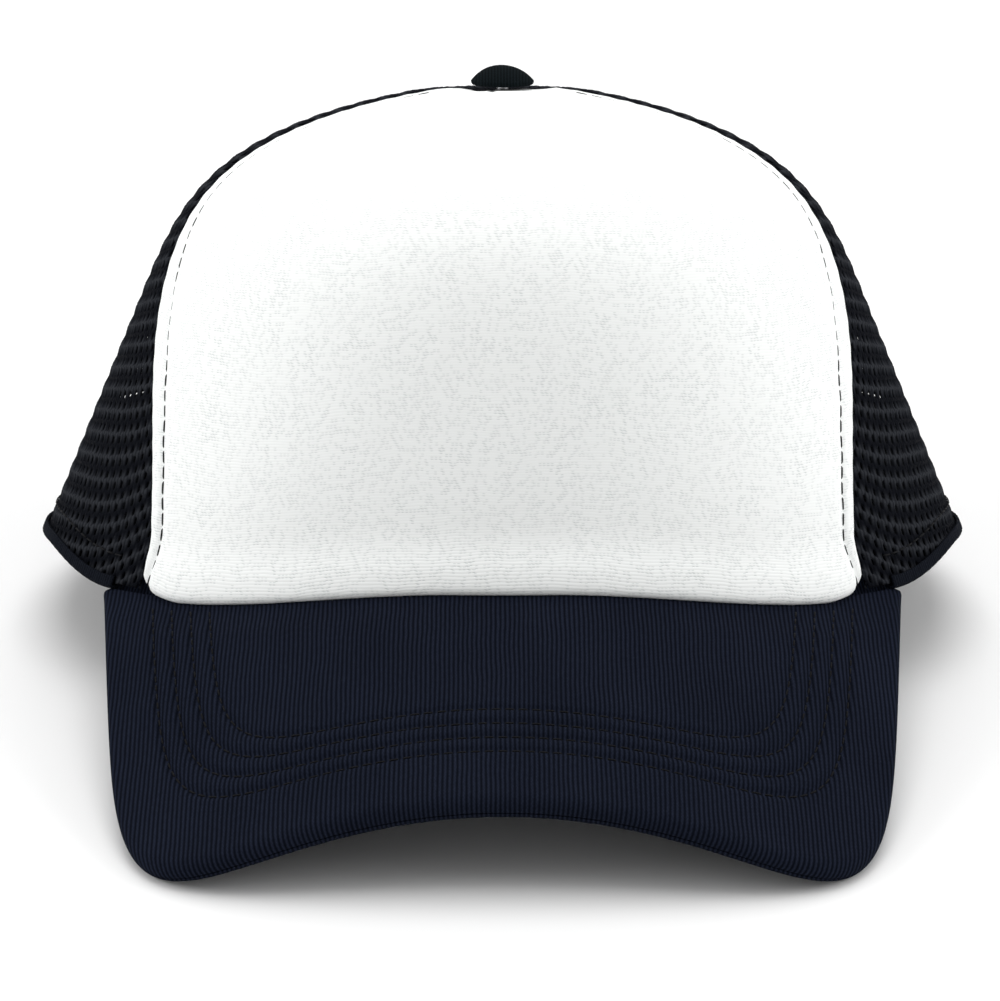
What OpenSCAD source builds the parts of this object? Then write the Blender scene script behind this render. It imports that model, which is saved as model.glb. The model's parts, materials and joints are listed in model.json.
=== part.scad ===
// Trucker mesh cap: a foam front panel, four mesh panels, a curved brim and a snap strap.
// Built upright in the cap's own frame, then tipped back to lie on its brim tips and rear rim.

/* [Crown] */
// Half of the crown's width at its rim
crown_half_w = 110.6; // [104:0.2:118]
// Half of the crown's length at its rim
crown_half_l = 80; // [76:0.5:86]
// Height of the crown above its rim
crown_h = 110.6; // [100:0.2:118]
// How far each side leans in between the rim and the top
side_lean = 44.4; // [30:0.2:50]
// How far the front leans in between the rim and the top
front_lean = 14; // [8:0.5:24]
// How far the back leans in between the rim and the top
back_lean = 18; // [10:0.5:28]
// Squareness of the shoulder: the larger, the flatter the top
shoulder_p = 8.4; // [5:0.1:10]
// Roundness of the top
shoulder_q = 1.32; // [1.2:0.02:2.4]

/* [Panels] */
// Thickness of the foam front panel
foam_t = 3.2; // [2:0.1:4]
// Thickness of the mesh
mesh_t = 1; // [0.8:0.1:1.4]
// Width of the tape that covers each seam on the inside
tape_w = 13; // [10:0.5:16]
// Height of the hem inside the rim, and of the binding round the back opening
hem_h = 9; // [7:0.5:12]
// Height of the narrow edge of the hem that shows on the outside
hem_lip = 2; // [1.5:0.1:4]
// Half of the width of the opening at the back
arch_half_w = 46; // [44:0.5:50]
// Height of the opening at the back
arch_h = 46; // [42:1:52]

/* [Sweatband] */
// Height of the sweatband inside the rim
band_h = 33; // [26:1:38]
// Thickness of the soft core in the sweatband
band_foam_t = 1.4; // [1:0.1:2]

/* [Brim] */
// Distance of the brim's front edge from the line between its rear ends
brim_reach = 95.8; // [90:0.2:104]
// Slope of the brim along its middle, in degrees below the rim
brim_slope = 27.9; // [18:0.1:32]
// Arch of the brim at its root, as drop per square millimetre of half width
arch_root = 0.00237; // [0.0018:0.00001:0.003]
// Growth of that arch with each millimetre towards the front
arch_gain = 0.00002; // [0.00001:0.000001:0.00003]
// Thickness of the finished brim
brim_t = 5.8; // [4.8:0.1:6.4]
// Thickness of the stiff board inside the brim
board_t = 1.8; // [1.4:0.1:1.8]
// Distance of the outer stitch row from the brim's edge
stitch_edge = 11.4; // [10:0.1:16]
// Distance between neighbouring stitch rows
stitch_pitch = 4.2; // [3.6:0.1:5]

/* [Button] */
// Radius of the covered button on top
button_r = 7.5; // [6.5:0.1:8.5]
// Height of the covered button
button_h = 4.7; // [4:0.1:6.5]
// How far the button presses the crown in
top_dip = 1.3; // [0.6:0.1:2]

/* [Strap] */
// Height of the two snap straps
strap_h = 18; // [16:0.5:20]
// Thickness of the two snap straps
strap_t = 1.2; // [1:0.1:1.4]
// Distance between neighbouring pegs
peg_pitch = 9; // [8:0.5:10]
// Radius of each peg
peg_r = 1.9; // [1.6:0.1:2]
// Radius of each hole
hole_r = 2.5; // [2.4:0.1:2.7]

/* [Hidden] */
$fn = 48;
white = [0.92, 0.93, 0.93];
black = [0.09, 0.1, 0.12];
grey = [0.35, 0.36, 0.38];
steel = [0.7, 0.7, 0.72];

// Rim: it arches up over the forehead, dips at the brim's ends and lifts at the sides
rim_front_z = 5;
rim_dip_z = -1.3;
rim_side_z = 4.2;
rim_arch_from = 5;
rim_arch_to = 45;
rim_dip_to = 56;
rim_side_at = 78;
rim_rear_at = 150;

// Seams, as angles round the crown from the middle of the front
front_seam_rim = 47.9;
front_seam_rise = 18;
front_seam_curl = 25.5;
// The seam stands back by this much about its middle, and flares at the rim
front_seam_belly = 3.4;
front_seam_flare = 1.5;
flare_to = 0.12;
belly_at = 0.58;
belly_half = 0.26;
back_seam_rim = 118;
back_seam_rise = 9;
seam_gap = 0.15;
rise_len = 112;
end_round = 1.2;
hole_top_r = 3.4;
dip_from = 6.5;
dip_run = 8;
top_z = crown_h - top_dip;
t_top = 1 - pow(hole_top_r / (crown_half_w - side_lean), shoulder_q) / shoulder_p;

// Depths below the crown's outer face
mesh_d = 1;
mesh_in = mesh_d + mesh_t;
tape_t = 0.8;
tape_gap = 0.3;
tape_from = 12;
tape_top = 1.8;
band_d = 4.6;
cloth_t = 0.5;
band_hem = 9;
label_half = 11;
label_from = 40;
label_to = 64;
label_t = 0.5;
strap_d = 3.2;

// Brim
brim_end = 56;
brim_root_in = 2;
root_t = 3.8;
root_run = 12;
outline_n = 7;
outline_taper = 0.113;
outline_extra = 0.36;
root_drop = 3.1;
arch_from_y = -62;
board_room = 1.1;
board_in = 2.6;
thread = 0.4;

// Strap
strap_root_x = 35;
strap_bend_x = 29.4;
strap_end_x = 20;
strap_z = 1;
strap_rise = 2.6;
strap_space = 0.4;
strap_lean = atan(back_lean / crown_h);
peg_out = 0.9;
pegs_n = 5;
pegs_from = -1.5;
tab_gap = 2;
tab_run = 18;

function mix(a, b, f) = a + (b - a) * f;
function step01(x) = let (c = min(1, max(0, x))) c * c * (3 - 2 * c);
function unit(v) = v / norm(v);

// Crown surface: phi runs round from the front, t runs up from the rim, d is the depth inside it
function dome(t) = pow(max(0, 1 - pow(max(0, t), shoulder_p)), 1 / shoulder_q);
function half_w(t) = (crown_half_w - side_lean) * dome(t) + side_lean * (1 - t);
function half_l(t, lean) = (crown_half_l - lean) * pow(dome(t), end_round) + lean * (1 - t);
function half_y(phi, t) = half_l(t, cos(phi) > 0 ? front_lean : back_lean);
function rim_z(phi) =
    let (p = abs(phi) > 180 ? 360 - abs(phi) : abs(phi))
    p < rim_dip_to
        ? mix(rim_front_z, rim_dip_z, step01((p - rim_arch_from) / (rim_arch_to - rim_arch_from)))
        : p < rim_side_at
            ? mix(rim_dip_z, rim_side_z, step01((p - rim_dip_to) / (rim_side_at - rim_dip_to)))
            : mix(rim_side_z, 0, step01((p - rim_side_at) / (rim_rear_at - rim_side_at)));
function dip(t) = top_dip * (1 - step01((half_w(t) - dip_from) / dip_run));
function crown(phi, t) =
    [half_w(t) * sin(phi), -half_y(phi, t) * cos(phi), mix(rim_z(phi), crown_h, t) - dip(t)];
function crown_n(phi, t) =
    let (h = min(0.004, 0.2 * (1 - t)))
    unit(cross(crown(phi + 1, t) - crown(phi - 1, t), crown(phi, t + h) - crown(phi, t - h)));
function skin(phi, t, d) = crown(phi, t) - d * crown_n(phi, t);
function turn_r(phi, t) = norm([half_w(t) * cos(phi), half_y(phi, t) * sin(phi)]);
function deg(mm, phi, t) = mm / turn_r(phi, t) * 180 / PI;
function t_row(f) = t_top * (1 - pow(1 - f, shoulder_q));
function at_x(x, t) = 180 - asin(x / half_w(t));

function belly(t) = exp(-pow((t - belly_at) / belly_half, 2)) * (1 - step01((t - 0.75) / 0.2));
function front_seam(t) =
    front_seam_rim + front_seam_rise * t + front_seam_curl * t * t
    + front_seam_belly * belly(t) + front_seam_flare * (1 - step01(t / flare_to));
function back_seam(t) = back_seam_rim + back_seam_rise * t;
function off(phi, t, mm) = phi + deg(mm, phi, t);

// Closed sheet between two equal grids of points, the outer one first
module sheet(a, b) {
    n = len(a);
    m = len(a[0]);
    k = n * m;
    polyhedron(
        points = concat([for (r = a) each r], [for (r = b) each r]),
        faces = concat(
            [for (i = [0:n - 2], j = [0:m - 2]) [i * m + j, (i + 1) * m + j, (i + 1) * m + j + 1]],
            [for (i = [0:n - 2], j = [0:m - 2]) [i * m + j, (i + 1) * m + j + 1, i * m + j + 1]],
            [for (i = [1:n - 1], j = [0:m - 2]) [k + (i - 1) * m + j, k + i * m + j + 1, k + i * m + j]],
            [for (i = [1:n - 1], j = [k + 1:k + m - 1]) [(i - 1) * m + j - 1, (i - 1) * m + j, i * m + j]],
            [for (j = [0:m - 2]) each wall(j, j + 1, k)],
            [for (j = [0:m - 2]) each wall((n - 1) * m + j + 1, (n - 1) * m + j, k)],
            [for (i = [0:n - 2]) each wall((i + 1) * m, i * m, k)],
            [for (i = [0:n - 2]) each wall(i * m + m - 1, (i + 1) * m + m - 1, k)]
        )
    );
}
function wall(p, q, k) = [[p, q, k + q], [p, k + q, k + p]];

// Sheet folded round an edge: each path row is [distance up from the edge, depth],
// up to height ho on the outside and hi on the inside
fold_drop = 0.9;
fold_round = 0.4;
function fold_out(ho, hi, d0, d1) =
    [[ho, d0], [ho / 2, d0], [0, d0], [-fold_drop, d0 + fold_round],
     [-fold_drop, d1 - fold_round], [0, d1], [hi / 2, d1], [hi, d1]];
function fold_in(ho, hi, d0, d1, s) =
    [[ho, d0 + s], [ho / 2, d0 + s], [0, d0 + s], [s - fold_drop, d0 + s + fold_round / 2],
     [s - fold_drop, d1 - s - fold_round / 2], [0, d1 - s], [hi / 2, d1 - s], [hi, d1 - s]];

module rest() {
    translate([0, -rest_y, rest_lift])
        rotate([-rest_tilt, 0, 0])
            children();
}
module both(left) {
    if (left) {
        mirror([1, 0, 0])
            children();
    } else {
        children();
    }
}

// Front panel
module front_panel() {
    rows = 22;
    cols = 24;
    color(white)
        rest()
            sheet(front_grid(rows, cols, 0), front_grid(rows, cols, foam_t));
}
function front_grid(rows, cols, d) =
    [for (i = [0:rows])
        let (t = t_row(i / rows), e = off(front_seam(t), t, -seam_gap))
        [for (j = [0:cols]) skin(mix(-e, e, j / cols), t, d)]];

module topstitch(left) {
    rows = 30;
    inset = 4;
    color(black)
        rest()
            both(left)
                sheet(stitch_grid(rows, inset, -thread), stitch_grid(rows, inset, -0.05));
}
function stitch_grid(rows, inset, d) =
    [for (i = [0:rows])
        let (t = mix(0.02, 0.985, 1 - pow(1 - i / rows, 1.4)), s = front_seam(t))
        [for (e = [inset + thread, inset - thread]) skin(off(s, t, -min(e, turn_r(s, t) * 0.3)), t, d)]];
module front_topstitch_left() {
    topstitch(true);
}
module front_topstitch_right() {
    topstitch(false);
}

// Mesh panels
module side_mesh(left) {
    color(grey)
        rest()
            both(left)
                sheet(side_grid(20, 14, mesh_d), side_grid(20, 14, mesh_in));
}
function side_grid(rows, cols, d) =
    [for (i = [0:rows])
        let (t = max(t_row(i / rows), 0.4 / rise_len),
             e0 = off(front_seam(t), t, seam_gap), e1 = off(back_seam(t), t, -seam_gap))
        [for (j = [0:cols]) skin(mix(e0, e1, j / cols), t, d)]];
module side_mesh_left() {
    side_mesh(true);
}
module side_mesh_right() {
    side_mesh(false);
}

// The back panel's lower edge follows the arch, given by its angle q: 0 at the rim, 90 at the top
function arch_phi(q, e) = 180 - asin((arch_half_w + e) * cos(q) / crown_half_w);
function arch_t(q, e) = (arch_h + e) * sin(q) / rise_len;
arch_edge = 0.4;
function back_cols(n0, n1) =
    let (p1 = arch_phi(0, arch_edge))
    concat(
        [for (j = [0:n0 - 1]) [mix(back_seam_rim, p1, j / n0), 0.4 / rise_len]],
        [for (j = [0:n1])
            let (q = 90 * j / n1)
            [arch_phi(q, arch_edge), max(0.4 / rise_len, arch_t(q, arch_edge))]]
    );
module back_mesh(left) {
    cols = back_cols(7, 10);
    color(grey)
        rest()
            both(left)
                sheet(back_grid(18, cols, mesh_d), back_grid(18, cols, mesh_in));
}
function back_grid(rows, cols, d) =
    [for (i = [0:rows])
        [for (c = cols)
            let (f = (c[0] - back_seam(c[1])) / (180 - back_seam(c[1])),
                 t = mix(c[1], t_top, 1 - pow(1 - i / rows, shoulder_q)),
                 e0 = off(back_seam(t), t, seam_gap), e1 = off(180, t, -seam_gap))
            skin(mix(e0, e1, f), t, d)]];
module back_mesh_left() {
    back_mesh(true);
}
module back_mesh_right() {
    back_mesh(false);
}

// Seam tapes on the inside
module tape(left, kind) {
    color(black)
        rest()
            both(left)
                sheet(tape_grid(kind, true), tape_grid(kind, false));
}
function tape_line(kind, t) = kind == 1 ? front_seam(t) : kind == 2 ? back_seam(t) : 180;
function tape_grid(kind, outer) =
    let (t0 = (kind == 3 ? arch_h + hem_h + 1 : tape_from) / rise_len,
         t1 = 1 - tape_top * (1 - t_top),
         d0 = mesh_in + tape_gap,
         df = foam_t + tape_gap + 0.2,
         d1 = (kind == 1 ? df : d0) + tape_t)
    [for (i = [0:22])
        let (t = mix(t0, t1, 1 - pow(1 - i / 22, shoulder_q)),
             s = tape_line(kind, t),
             w = min(tape_w / 2, 0.27 * turn_r(s, t)))
        [for (e = [-1, -0.1, 0.1, 1])
            skin(off(s, t, e * w), t, outer ? (kind == 1 && e < 0 ? df : d0) : d1)]];
module seam_tape_front_left() {
    tape(true, 1);
}
module seam_tape_front_right() {
    tape(false, 1);
}
module seam_tape_side_left() {
    tape(true, 2);
}
module seam_tape_side_right() {
    tape(false, 2);
}
module seam_tape_back() {
    tape(false, 3);
}

// Hem round the rim of the mesh, and the binding round the back opening
hem_from = 57.6;
hem_to = arch_phi(0, hem_h + 0.6);
hem_cloth = 0.7;
module hem(left) {
    color(black)
        rest()
            both(left)
                sheet(hem_grid(24, fold_out(hem_lip, hem_h, 0.1, mesh_in + 0.9)),
                      hem_grid(24, fold_in(hem_lip, hem_h, 0.1, mesh_in + 0.9, hem_cloth)));
}
function hem_grid(cols, path) =
    [for (p = path)
        [for (j = [cols:-1:0]) skin(mix(hem_from, hem_to, j / cols), p[0] / rise_len, p[1])]];
module hem_left() {
    hem(true);
}
module hem_right() {
    hem(false);
}

module arch_binding() {
    color(black)
        rest()
            sheet(binding_grid(28, fold_out(hem_h, hem_h, 0.1, mesh_in + 0.9)),
                  binding_grid(28, fold_in(hem_h, hem_h, 0.1, mesh_in + 0.9, hem_cloth)));
}
function binding_grid(cols, path) =
    [for (p = path)
        [for (j = [cols:-1:0])
            let (q = 180 * j / cols)
            skin(arch_phi(q, p[0]), arch_t(q, p[0]) + 0.2 / rise_len, p[1])]];

// Sweatband: a facing folded round a soft core
band_to = arch_phi(0, 5);
function band_grid(path) =
    [for (p = path)
        [for (j = [60:-1:0]) skin(mix(-band_to, band_to, j / 60), p[0] / rise_len, p[1])]];
band_in = band_d + 2 * cloth_t + band_foam_t + 0.4;
module sweatband_facing() {
    color(black)
        rest()
            sheet(
                band_grid([[band_hem, band_d], [1, band_d], [1, band_in],
                           [band_h / 2, band_in], [band_h, band_in]]),
                band_grid([[band_hem, band_d + cloth_t], [1.5, band_d + cloth_t], [1.5, band_in - cloth_t],
                           [band_h / 2, band_in - cloth_t], [band_h, band_in - cloth_t]])
            );
}
core_rows = [band_h - 1, band_h / 2, 1.8];
module sweatband_foam() {
    d0 = band_d + cloth_t + 0.2;
    color(white)
        rest()
            sheet(band_grid([for (h = core_rows) [h, d0]]),
                  band_grid([for (h = core_rows) [h, d0 + band_foam_t]]));
}
module inner_label() {
    d = foam_t + tape_gap;
    color(white)
        rest()
            sheet(label_grid(d), label_grid(d + label_t));
}
function label_grid(d) =
    [for (i = [0:4])
        [for (j = [-4:4]) skin(j / 4 * label_half, mix(label_from, label_to, i / 4) / rise_len, d)]];

// Brim, as a height over the plan
function root_c(phi) = rim_z(phi) - root_drop - 0.6 * pow(phi / brim_end, 2) - brim_plane(
    crown_half_w * sin(phi), -crown_half_l * cos(phi));
function brim_plane(x, y) =
    rim_front_z + tan(brim_slope) * (y + crown_half_l)
    - x * x * (arch_root + arch_gain * (arch_from_y - y)) - brim_t / 2;
function brim_q(x, y) = norm([x / crown_half_w, y / crown_half_l]) - 1;
function brim_z(x, y) =
    let (phi = atan2(x / crown_half_w, -y / crown_half_l))
    brim_plane(x, y) + root_c(phi) * pow(max(0, 1 - max(-0.1, brim_q(x, y)) / 0.5), 2);
function brim_full(x, y) = mix(root_t, brim_t, step01(brim_q(x, y) * 90 / root_run));
function brim_n(x, y) =
    unit([brim_z(x - 0.5, y) - brim_z(x + 0.5, y), brim_z(x, y - 0.5) - brim_z(x, y + 0.5), 1]);
function brim_pt(p, h) = [p[0], p[1], brim_z(p[0], p[1])] + h * brim_n(p[0], p[1]);
function even(p) =
    let (a = pow(abs(p), outline_n / 2), b = pow(1 - abs(p), outline_n / 2))
    sign(p) * 90 * a / (a + b);
// Inset at the front of a line inside the edge: lines stand farther in there
front_extra = 3.97;
function front_in(in) = 0.937 * in + front_extra * step01(in / 11);
function outline(p, in) =
    let (q = even(p),
         y = -(brim_reach - front_in(in)) * pow(cos(q), 2 / outline_n),
         w = crown_half_w * sin(brim_end) + outline_extra - in + outline_taper * y)
    [sign(p) * w * pow(abs(sin(q)), 2 / outline_n), y - crown_half_l * cos(brim_end)];
function brim_root(p) =
    [(crown_half_w - brim_root_in) * sin(p * brim_end), -(crown_half_l - brim_root_in) * cos(p * brim_end)];
brim_cols = 60;
edge_rows = 4;
span_rows = 6;
// Columns across the brim, closer together at its two corners
function dense(f) = let (p = mix(-1, 1, f)) p + 0.45 * sin(360 * p) / (2 * PI);
// Cover: the outer face rounds off to the middle of the thickness at the brim's edge
function cover_grid(side, outer) =
    [for (i = [0:span_rows + edge_rows])
        [for (j = [0:brim_cols])
            let (p = dense(j / brim_cols),
                 r = brim_root(p),
                 o = outline(p, outer ? 0 : 1.8),
                 run = norm(o - r),
                 full = brim_full(o[0], o[1]) / 2,
                 roll = min(full, 0.45 * run),
                 a = max(0, i - span_rows) / edge_rows * 90,
                 e = i < span_rows ? mix(run, roll, i / span_rows) : roll * (1 - sin(a)),
                 c = mix(o, r, e / run),
                 t2 = brim_full(c[0], c[1]) / 2)
            brim_pt(c, side * (outer ? max(0.1, t2 * cos(a)) : board_room))]];
module brim_top_cover() {
    color(black)
        rest()
            sheet(cover_grid(1, false), cover_grid(1, true));
}
module brim_under_cover() {
    color(black)
        rest()
            sheet(cover_grid(-1, true), cover_grid(-1, false));
}
module brim_board() {
    color(white)
        rest()
            sheet(board_grid(-board_t / 2), board_grid(board_t / 2));
}
function board_grid(h) =
    [for (i = [0:5])
        [for (j = [0:40])
            let (p = 0.93 * dense(j / 40), r = brim_root(p), o = outline(p, board_in))
            brim_pt(mix(r + (o - r) * 0.6 / norm(o - r), o, i / 5), h)]];
module brim_stitching() {
    color(black)
        rest()
            for (k = [0:3]) {
                in = stitch_edge + k * stitch_pitch;
                sheet(row_grid(in, 0.05), row_grid(in, thread));
            }
}
function row_pts(in) =
    [for (j = [-36:36])
        let (p = outline(dense(0.5 + j / 74), in))
        if (brim_q(p[0], p[1]) > 0.02) p];
function row_grid(in, h) =
    let (a = row_pts(in - thread), b = row_pts(in + thread), n = min(len(a), len(b)),
         ka = (len(a) - n) / 2, kb = (len(b) - n) / 2)
    [for (g = [[b, kb], [a, ka]])
        [for (j = [0:n - 1])
            let (p = g[0][j + g[1]])
            brim_pt(p, brim_full(p[0], p[1]) / 2 + h)]];

// Button
rivet_r = 1.4;
rivet_len = 6;
washer_r = 6;
washer_t = 0.9;
module button_cover() {
    r = button_r;
    lip = 1;
    color(black)
        rest()
            translate([0, 0, top_z + 0.3])
                rotate_extrude()
                    intersection() {
                        square([r, button_h]);
                        union() {
                            translate([0, -button_ball_r(r, button_h, lip) + button_h])
                                circle(button_ball_r(r, button_h, lip), $fn = 96);
                            square([r, lip]);
                        }
                    }
}
function button_ball_r(r, h, lip) = (r * r + (h - lip) * (h - lip)) / (2 * (h - lip));
module button_rivet() {
    color(steel)
        rest()
            translate([0, 0, top_z - rivet_len])
                cylinder(h = rivet_len + 0.1, r = rivet_r);
}
module button_washer() {
    color(steel)
        rest()
            translate([0, 0, top_z - rivet_len])
                difference() {
                    cylinder(h = washer_t, r = washer_r);
                    translate([0, 0, -1])
                        cylinder(h = 3, r = rivet_r + 0.1);
                }
}

// Snap straps, in a frame whose origin is the middle of the closure at its lower edge
strap_y = crown(at_x(strap_root_x, 0.01), 0.01)[1] - strap_d - strap_t / 2;
module strap_frame() {
    rest()
        translate([0, strap_y, strap_z])
            rotate([strap_lean, 0, 0])
                children();
}
inner_y = strap_rise - strap_space - 1.5 * strap_t;
outer_y = strap_rise - strap_t / 2;
function strap_plan(y) =
    [[-strap_end_x, y], [strap_bend_x, y], [strap_root_x, -strap_t / 2],
     [strap_root_x, strap_t / 2], [strap_bend_x + 0.6, y + strap_t], [-strap_end_x, y + strap_t]];
module strap_body(y) {
    round_r = strap_h / 2 - 1;
    intersection() {
        linear_extrude(height = strap_h)
            polygon(strap_plan(y));
        translate([0, 10, 0])
            rotate([90, 0, 0])
                linear_extrude(height = 20)
                    union() {
                        translate([-strap_end_x + round_r, 0])
                            square([strap_root_x + strap_end_x - round_r + 1, strap_h]);
                        translate([-strap_end_x, round_r])
                            square([round_r + 1, strap_h - 2 * round_r]);
                        for (z = [round_r, strap_h - round_r]) {
                            translate([-strap_end_x + round_r, z])
                                circle(round_r);
                        }
                    }
    }
}
module along_y(x, y, r, h) {
    translate([x, y, strap_h / 2])
        rotate([-90, 0, 0])
            cylinder(h = h, r = r);
}
module hole_strap() {
    color(black)
        strap_frame()
            difference() {
                strap_body(outer_y);
                for (k = [0:pegs_n - 1]) {
                    along_y((k + pegs_from) * peg_pitch, outer_y - 3, hole_r, strap_t + 6);
                }
            }
}
module peg_strap() {
    color(black)
        strap_frame()
            mirror([1, 0, 0])
                union() {
                    strap_body(inner_y);
                    for (k = [0:pegs_n - 1]) {
                        along_y((k + pegs_from) * peg_pitch, inner_y + strap_t / 2, peg_r,
                                strap_t * 1.5 + strap_space + peg_out);
                    }
                }
}
module strap_tab(left) {
    color(black)
        rest()
            both(left)
                sheet(tab_grid(strap_d), tab_grid(strap_d + strap_t));
}
function tab_grid(d) =
    [for (i = [0:3])
        [for (j = [0:6])
            let (t = mix(strap_z, strap_z + strap_h, i / 3) / rise_len)
            skin(at_x(mix(strap_root_x + tab_run, strap_root_x + tab_gap, j / 6), t), t, d)]];
module hole_strap_tab() {
    strap_tab(false);
}
module peg_strap_tab() {
    strap_tab(true);
}

// Resting pose: the plane under the brim's tips and the rear hem
front_feet = [for (r = cover_grid(-1, true)) each r];
rear_feet = [for (r = hem_grid(24, fold_out(hem_lip, hem_h, 0.1, mesh_in + 0.9))) each r];
rest_tilt = min([for (r = rear_feet) max([for (p = front_feet) atan2(r[2] - p[2], r[1] - p[1])])]);
function laid_z(p) = p[2] * cos(rest_tilt) - p[1] * sin(rest_tilt);
function laid_y(p) = p[1] * cos(rest_tilt) + p[2] * sin(rest_tilt);
rest_lift = -min([for (p = concat(front_feet, rear_feet)) laid_z(p)]);
rest_y = (min([for (p = front_feet) laid_y(p)])
          + max([for (i = [0:20]) laid_y(skin(180, i / 21, mesh_d))])) / 2;

front_panel();
front_topstitch_left();
front_topstitch_right();
side_mesh_left();
side_mesh_right();
back_mesh_left();
back_mesh_right();
seam_tape_front_left();
seam_tape_front_right();
seam_tape_side_left();
seam_tape_side_right();
seam_tape_back();
hem_left();
hem_right();
arch_binding();
sweatband_facing();
sweatband_foam();
inner_label();
button_cover();
button_rivet();
button_washer();
brim_top_cover();
brim_board();
brim_under_cover();
brim_stitching();
hole_strap();
hole_strap_tab();
peg_strap();
peg_strap_tab();
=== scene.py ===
import json
import math
import bmesh
import bpy
import numpy as np
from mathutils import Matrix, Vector


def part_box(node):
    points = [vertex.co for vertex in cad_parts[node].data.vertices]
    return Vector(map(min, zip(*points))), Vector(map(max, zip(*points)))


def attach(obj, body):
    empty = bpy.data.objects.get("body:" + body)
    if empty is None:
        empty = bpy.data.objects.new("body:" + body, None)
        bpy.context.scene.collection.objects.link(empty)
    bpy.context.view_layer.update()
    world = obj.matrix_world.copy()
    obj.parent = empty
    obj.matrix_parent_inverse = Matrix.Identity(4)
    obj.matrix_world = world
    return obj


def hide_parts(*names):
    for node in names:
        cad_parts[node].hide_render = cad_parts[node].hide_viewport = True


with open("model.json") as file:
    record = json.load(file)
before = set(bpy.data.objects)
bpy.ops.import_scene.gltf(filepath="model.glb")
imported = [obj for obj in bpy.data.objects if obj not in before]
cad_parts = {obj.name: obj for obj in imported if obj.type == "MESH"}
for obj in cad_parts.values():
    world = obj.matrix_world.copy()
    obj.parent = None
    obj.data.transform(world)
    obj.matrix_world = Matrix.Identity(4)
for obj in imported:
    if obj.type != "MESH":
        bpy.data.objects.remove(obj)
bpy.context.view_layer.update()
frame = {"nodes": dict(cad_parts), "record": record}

# ------------------------------------------------------------------ front panel
# The high front of the crown: white knitted cloth bonded to 3 mm of foam and
# moulded to shape. Its sides are sewn to the mesh, and its lower edge is turned in
# over the root of the brim. All the shapes below are in millimetres in the upright
# cap's own frame, and laid() puts them where the cap lies.

CROWN_HALF_W, CROWN_HALF_L, CROWN_H = 110.6, 80.0, 110.6
SIDE_LEAN, FRONT_LEAN, BACK_LEAN = 44.4, 14.0, 18.0
SHOULDER_P, SHOULDER_Q, END_ROUND = 8.4, 1.32, 1.2
RIM_FRONT, RIM_DIP, RIM_SIDE = 5.0, -1.3, 4.2
TOP_DIP, DIP_FROM, DIP_RUN = 1.3, 6.5, 8.0
RIVET_MID = CROWN_H - TOP_DIP - 2.95
RISE_LEN = 112.0
HOLE_TOP_R = 3.4
T_TOP = 1 - (HOLE_TOP_R / (CROWN_HALF_W - SIDE_LEAN)) ** SHOULDER_Q / SHOULDER_P
SEAM_GAP = 0.15
SEAM_FROM, SEAM_RISE, SEAM_CURVE = 47.9, 18, 25.5
BELLY, BELLY_AT, BELLY_HALF, BELLY_END, BELLY_FADE = 3.4, 0.58, 0.26, 0.75, 0.2
FLARE, FLARE_TO = 1.5, 0.12
BACK_SEAM_FROM, BACK_SEAM_RISE = 118, 9
FOAM_T = 3.2
TOPSTITCH_IN = 4.0

head_axis = next(m["axis"] for m in frame["record"]["mounts"] if m["name"] == "head_opening")
tip = math.atan2(-head_axis[1], -head_axis[2])
rivet_at = 1000 * np.mean(np.array([list(c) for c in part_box("button_rivet")]), axis=0)
shift_y = rivet_at[1] - RIVET_MID * math.sin(tip)
shift_z = rivet_at[2] - RIVET_MID * math.cos(tip)


def laid(p):
    """Points of the upright cap in mm, tipped back about X by the cap's tilt, shifted so that
    the rivet's middle lands in its own box, and given in metres."""
    x, y, z = np.moveaxis(np.asarray(p, float), -1, 0)
    y, z = y * math.cos(tip) + z * math.sin(tip), z * math.cos(tip) - y * math.sin(tip)
    return np.stack([x, y + shift_y, z + shift_z], -1) / 1000


def ease(x):
    """Smooth step: 3x^2 - 2x^3 between 0 and 1, flat outside."""
    c = np.clip(x, 0, 1)
    return c * c * (3 - 2 * c)


def bump_at(x, width):
    """Bell curve of height 1 at zero: e to the minus (x / width) squared."""
    return np.exp(-((x / width) ** 2))


def unit(v):
    """Vectors over their own lengths."""
    return v / np.linalg.norm(v, axis=-1, keepdims=True)


def length_along(line):
    """Distance run at each point of a line from its first one."""
    return np.concatenate([[0], np.cumsum(np.linalg.norm(np.diff(line, axis=0), axis=1))])


def pairs(a, b):
    """Two broadcast coordinates as one array of pairs."""
    return np.stack(np.broadcast_arrays(a, b), -1)


def dome(t):
    """How far the crown still reaches at t, as a share: 1 at the rim and 0 at the top."""
    return np.maximum(0, 1 - np.maximum(0, t) ** SHOULDER_P) ** (1 / SHOULDER_Q)


def half_w(t):
    """Half width in mm: a domed part, and a part that falls evenly to the top."""
    return (CROWN_HALF_W - SIDE_LEAN) * dome(t) + SIDE_LEAN * (1 - t)


def half_y(phi, t):
    """Half length in mm, by the same rule, with a steeper front than back."""
    lean = np.where(np.cos(np.radians(phi)) > 0, FRONT_LEAN, BACK_LEAN)
    return (CROWN_HALF_L - lean) * dome(t) ** END_ROUND + lean * (1 - t)


def rim_z(phi):
    """Rim height: arched over the forehead, lowest at the brim's ends, lifted at the sides."""
    p = np.abs(phi)
    p = np.where(p > 180, 360 - p, p)
    front = RIM_FRONT + (RIM_DIP - RIM_FRONT) * ease((p - 5) / 40)
    side = RIM_DIP + (RIM_SIDE - RIM_DIP) * ease((p - 56) / 22)
    return np.where(p < 56, front, np.where(p < 78, side, RIM_SIDE * (1 - ease((p - 78) / 72))))


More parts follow.
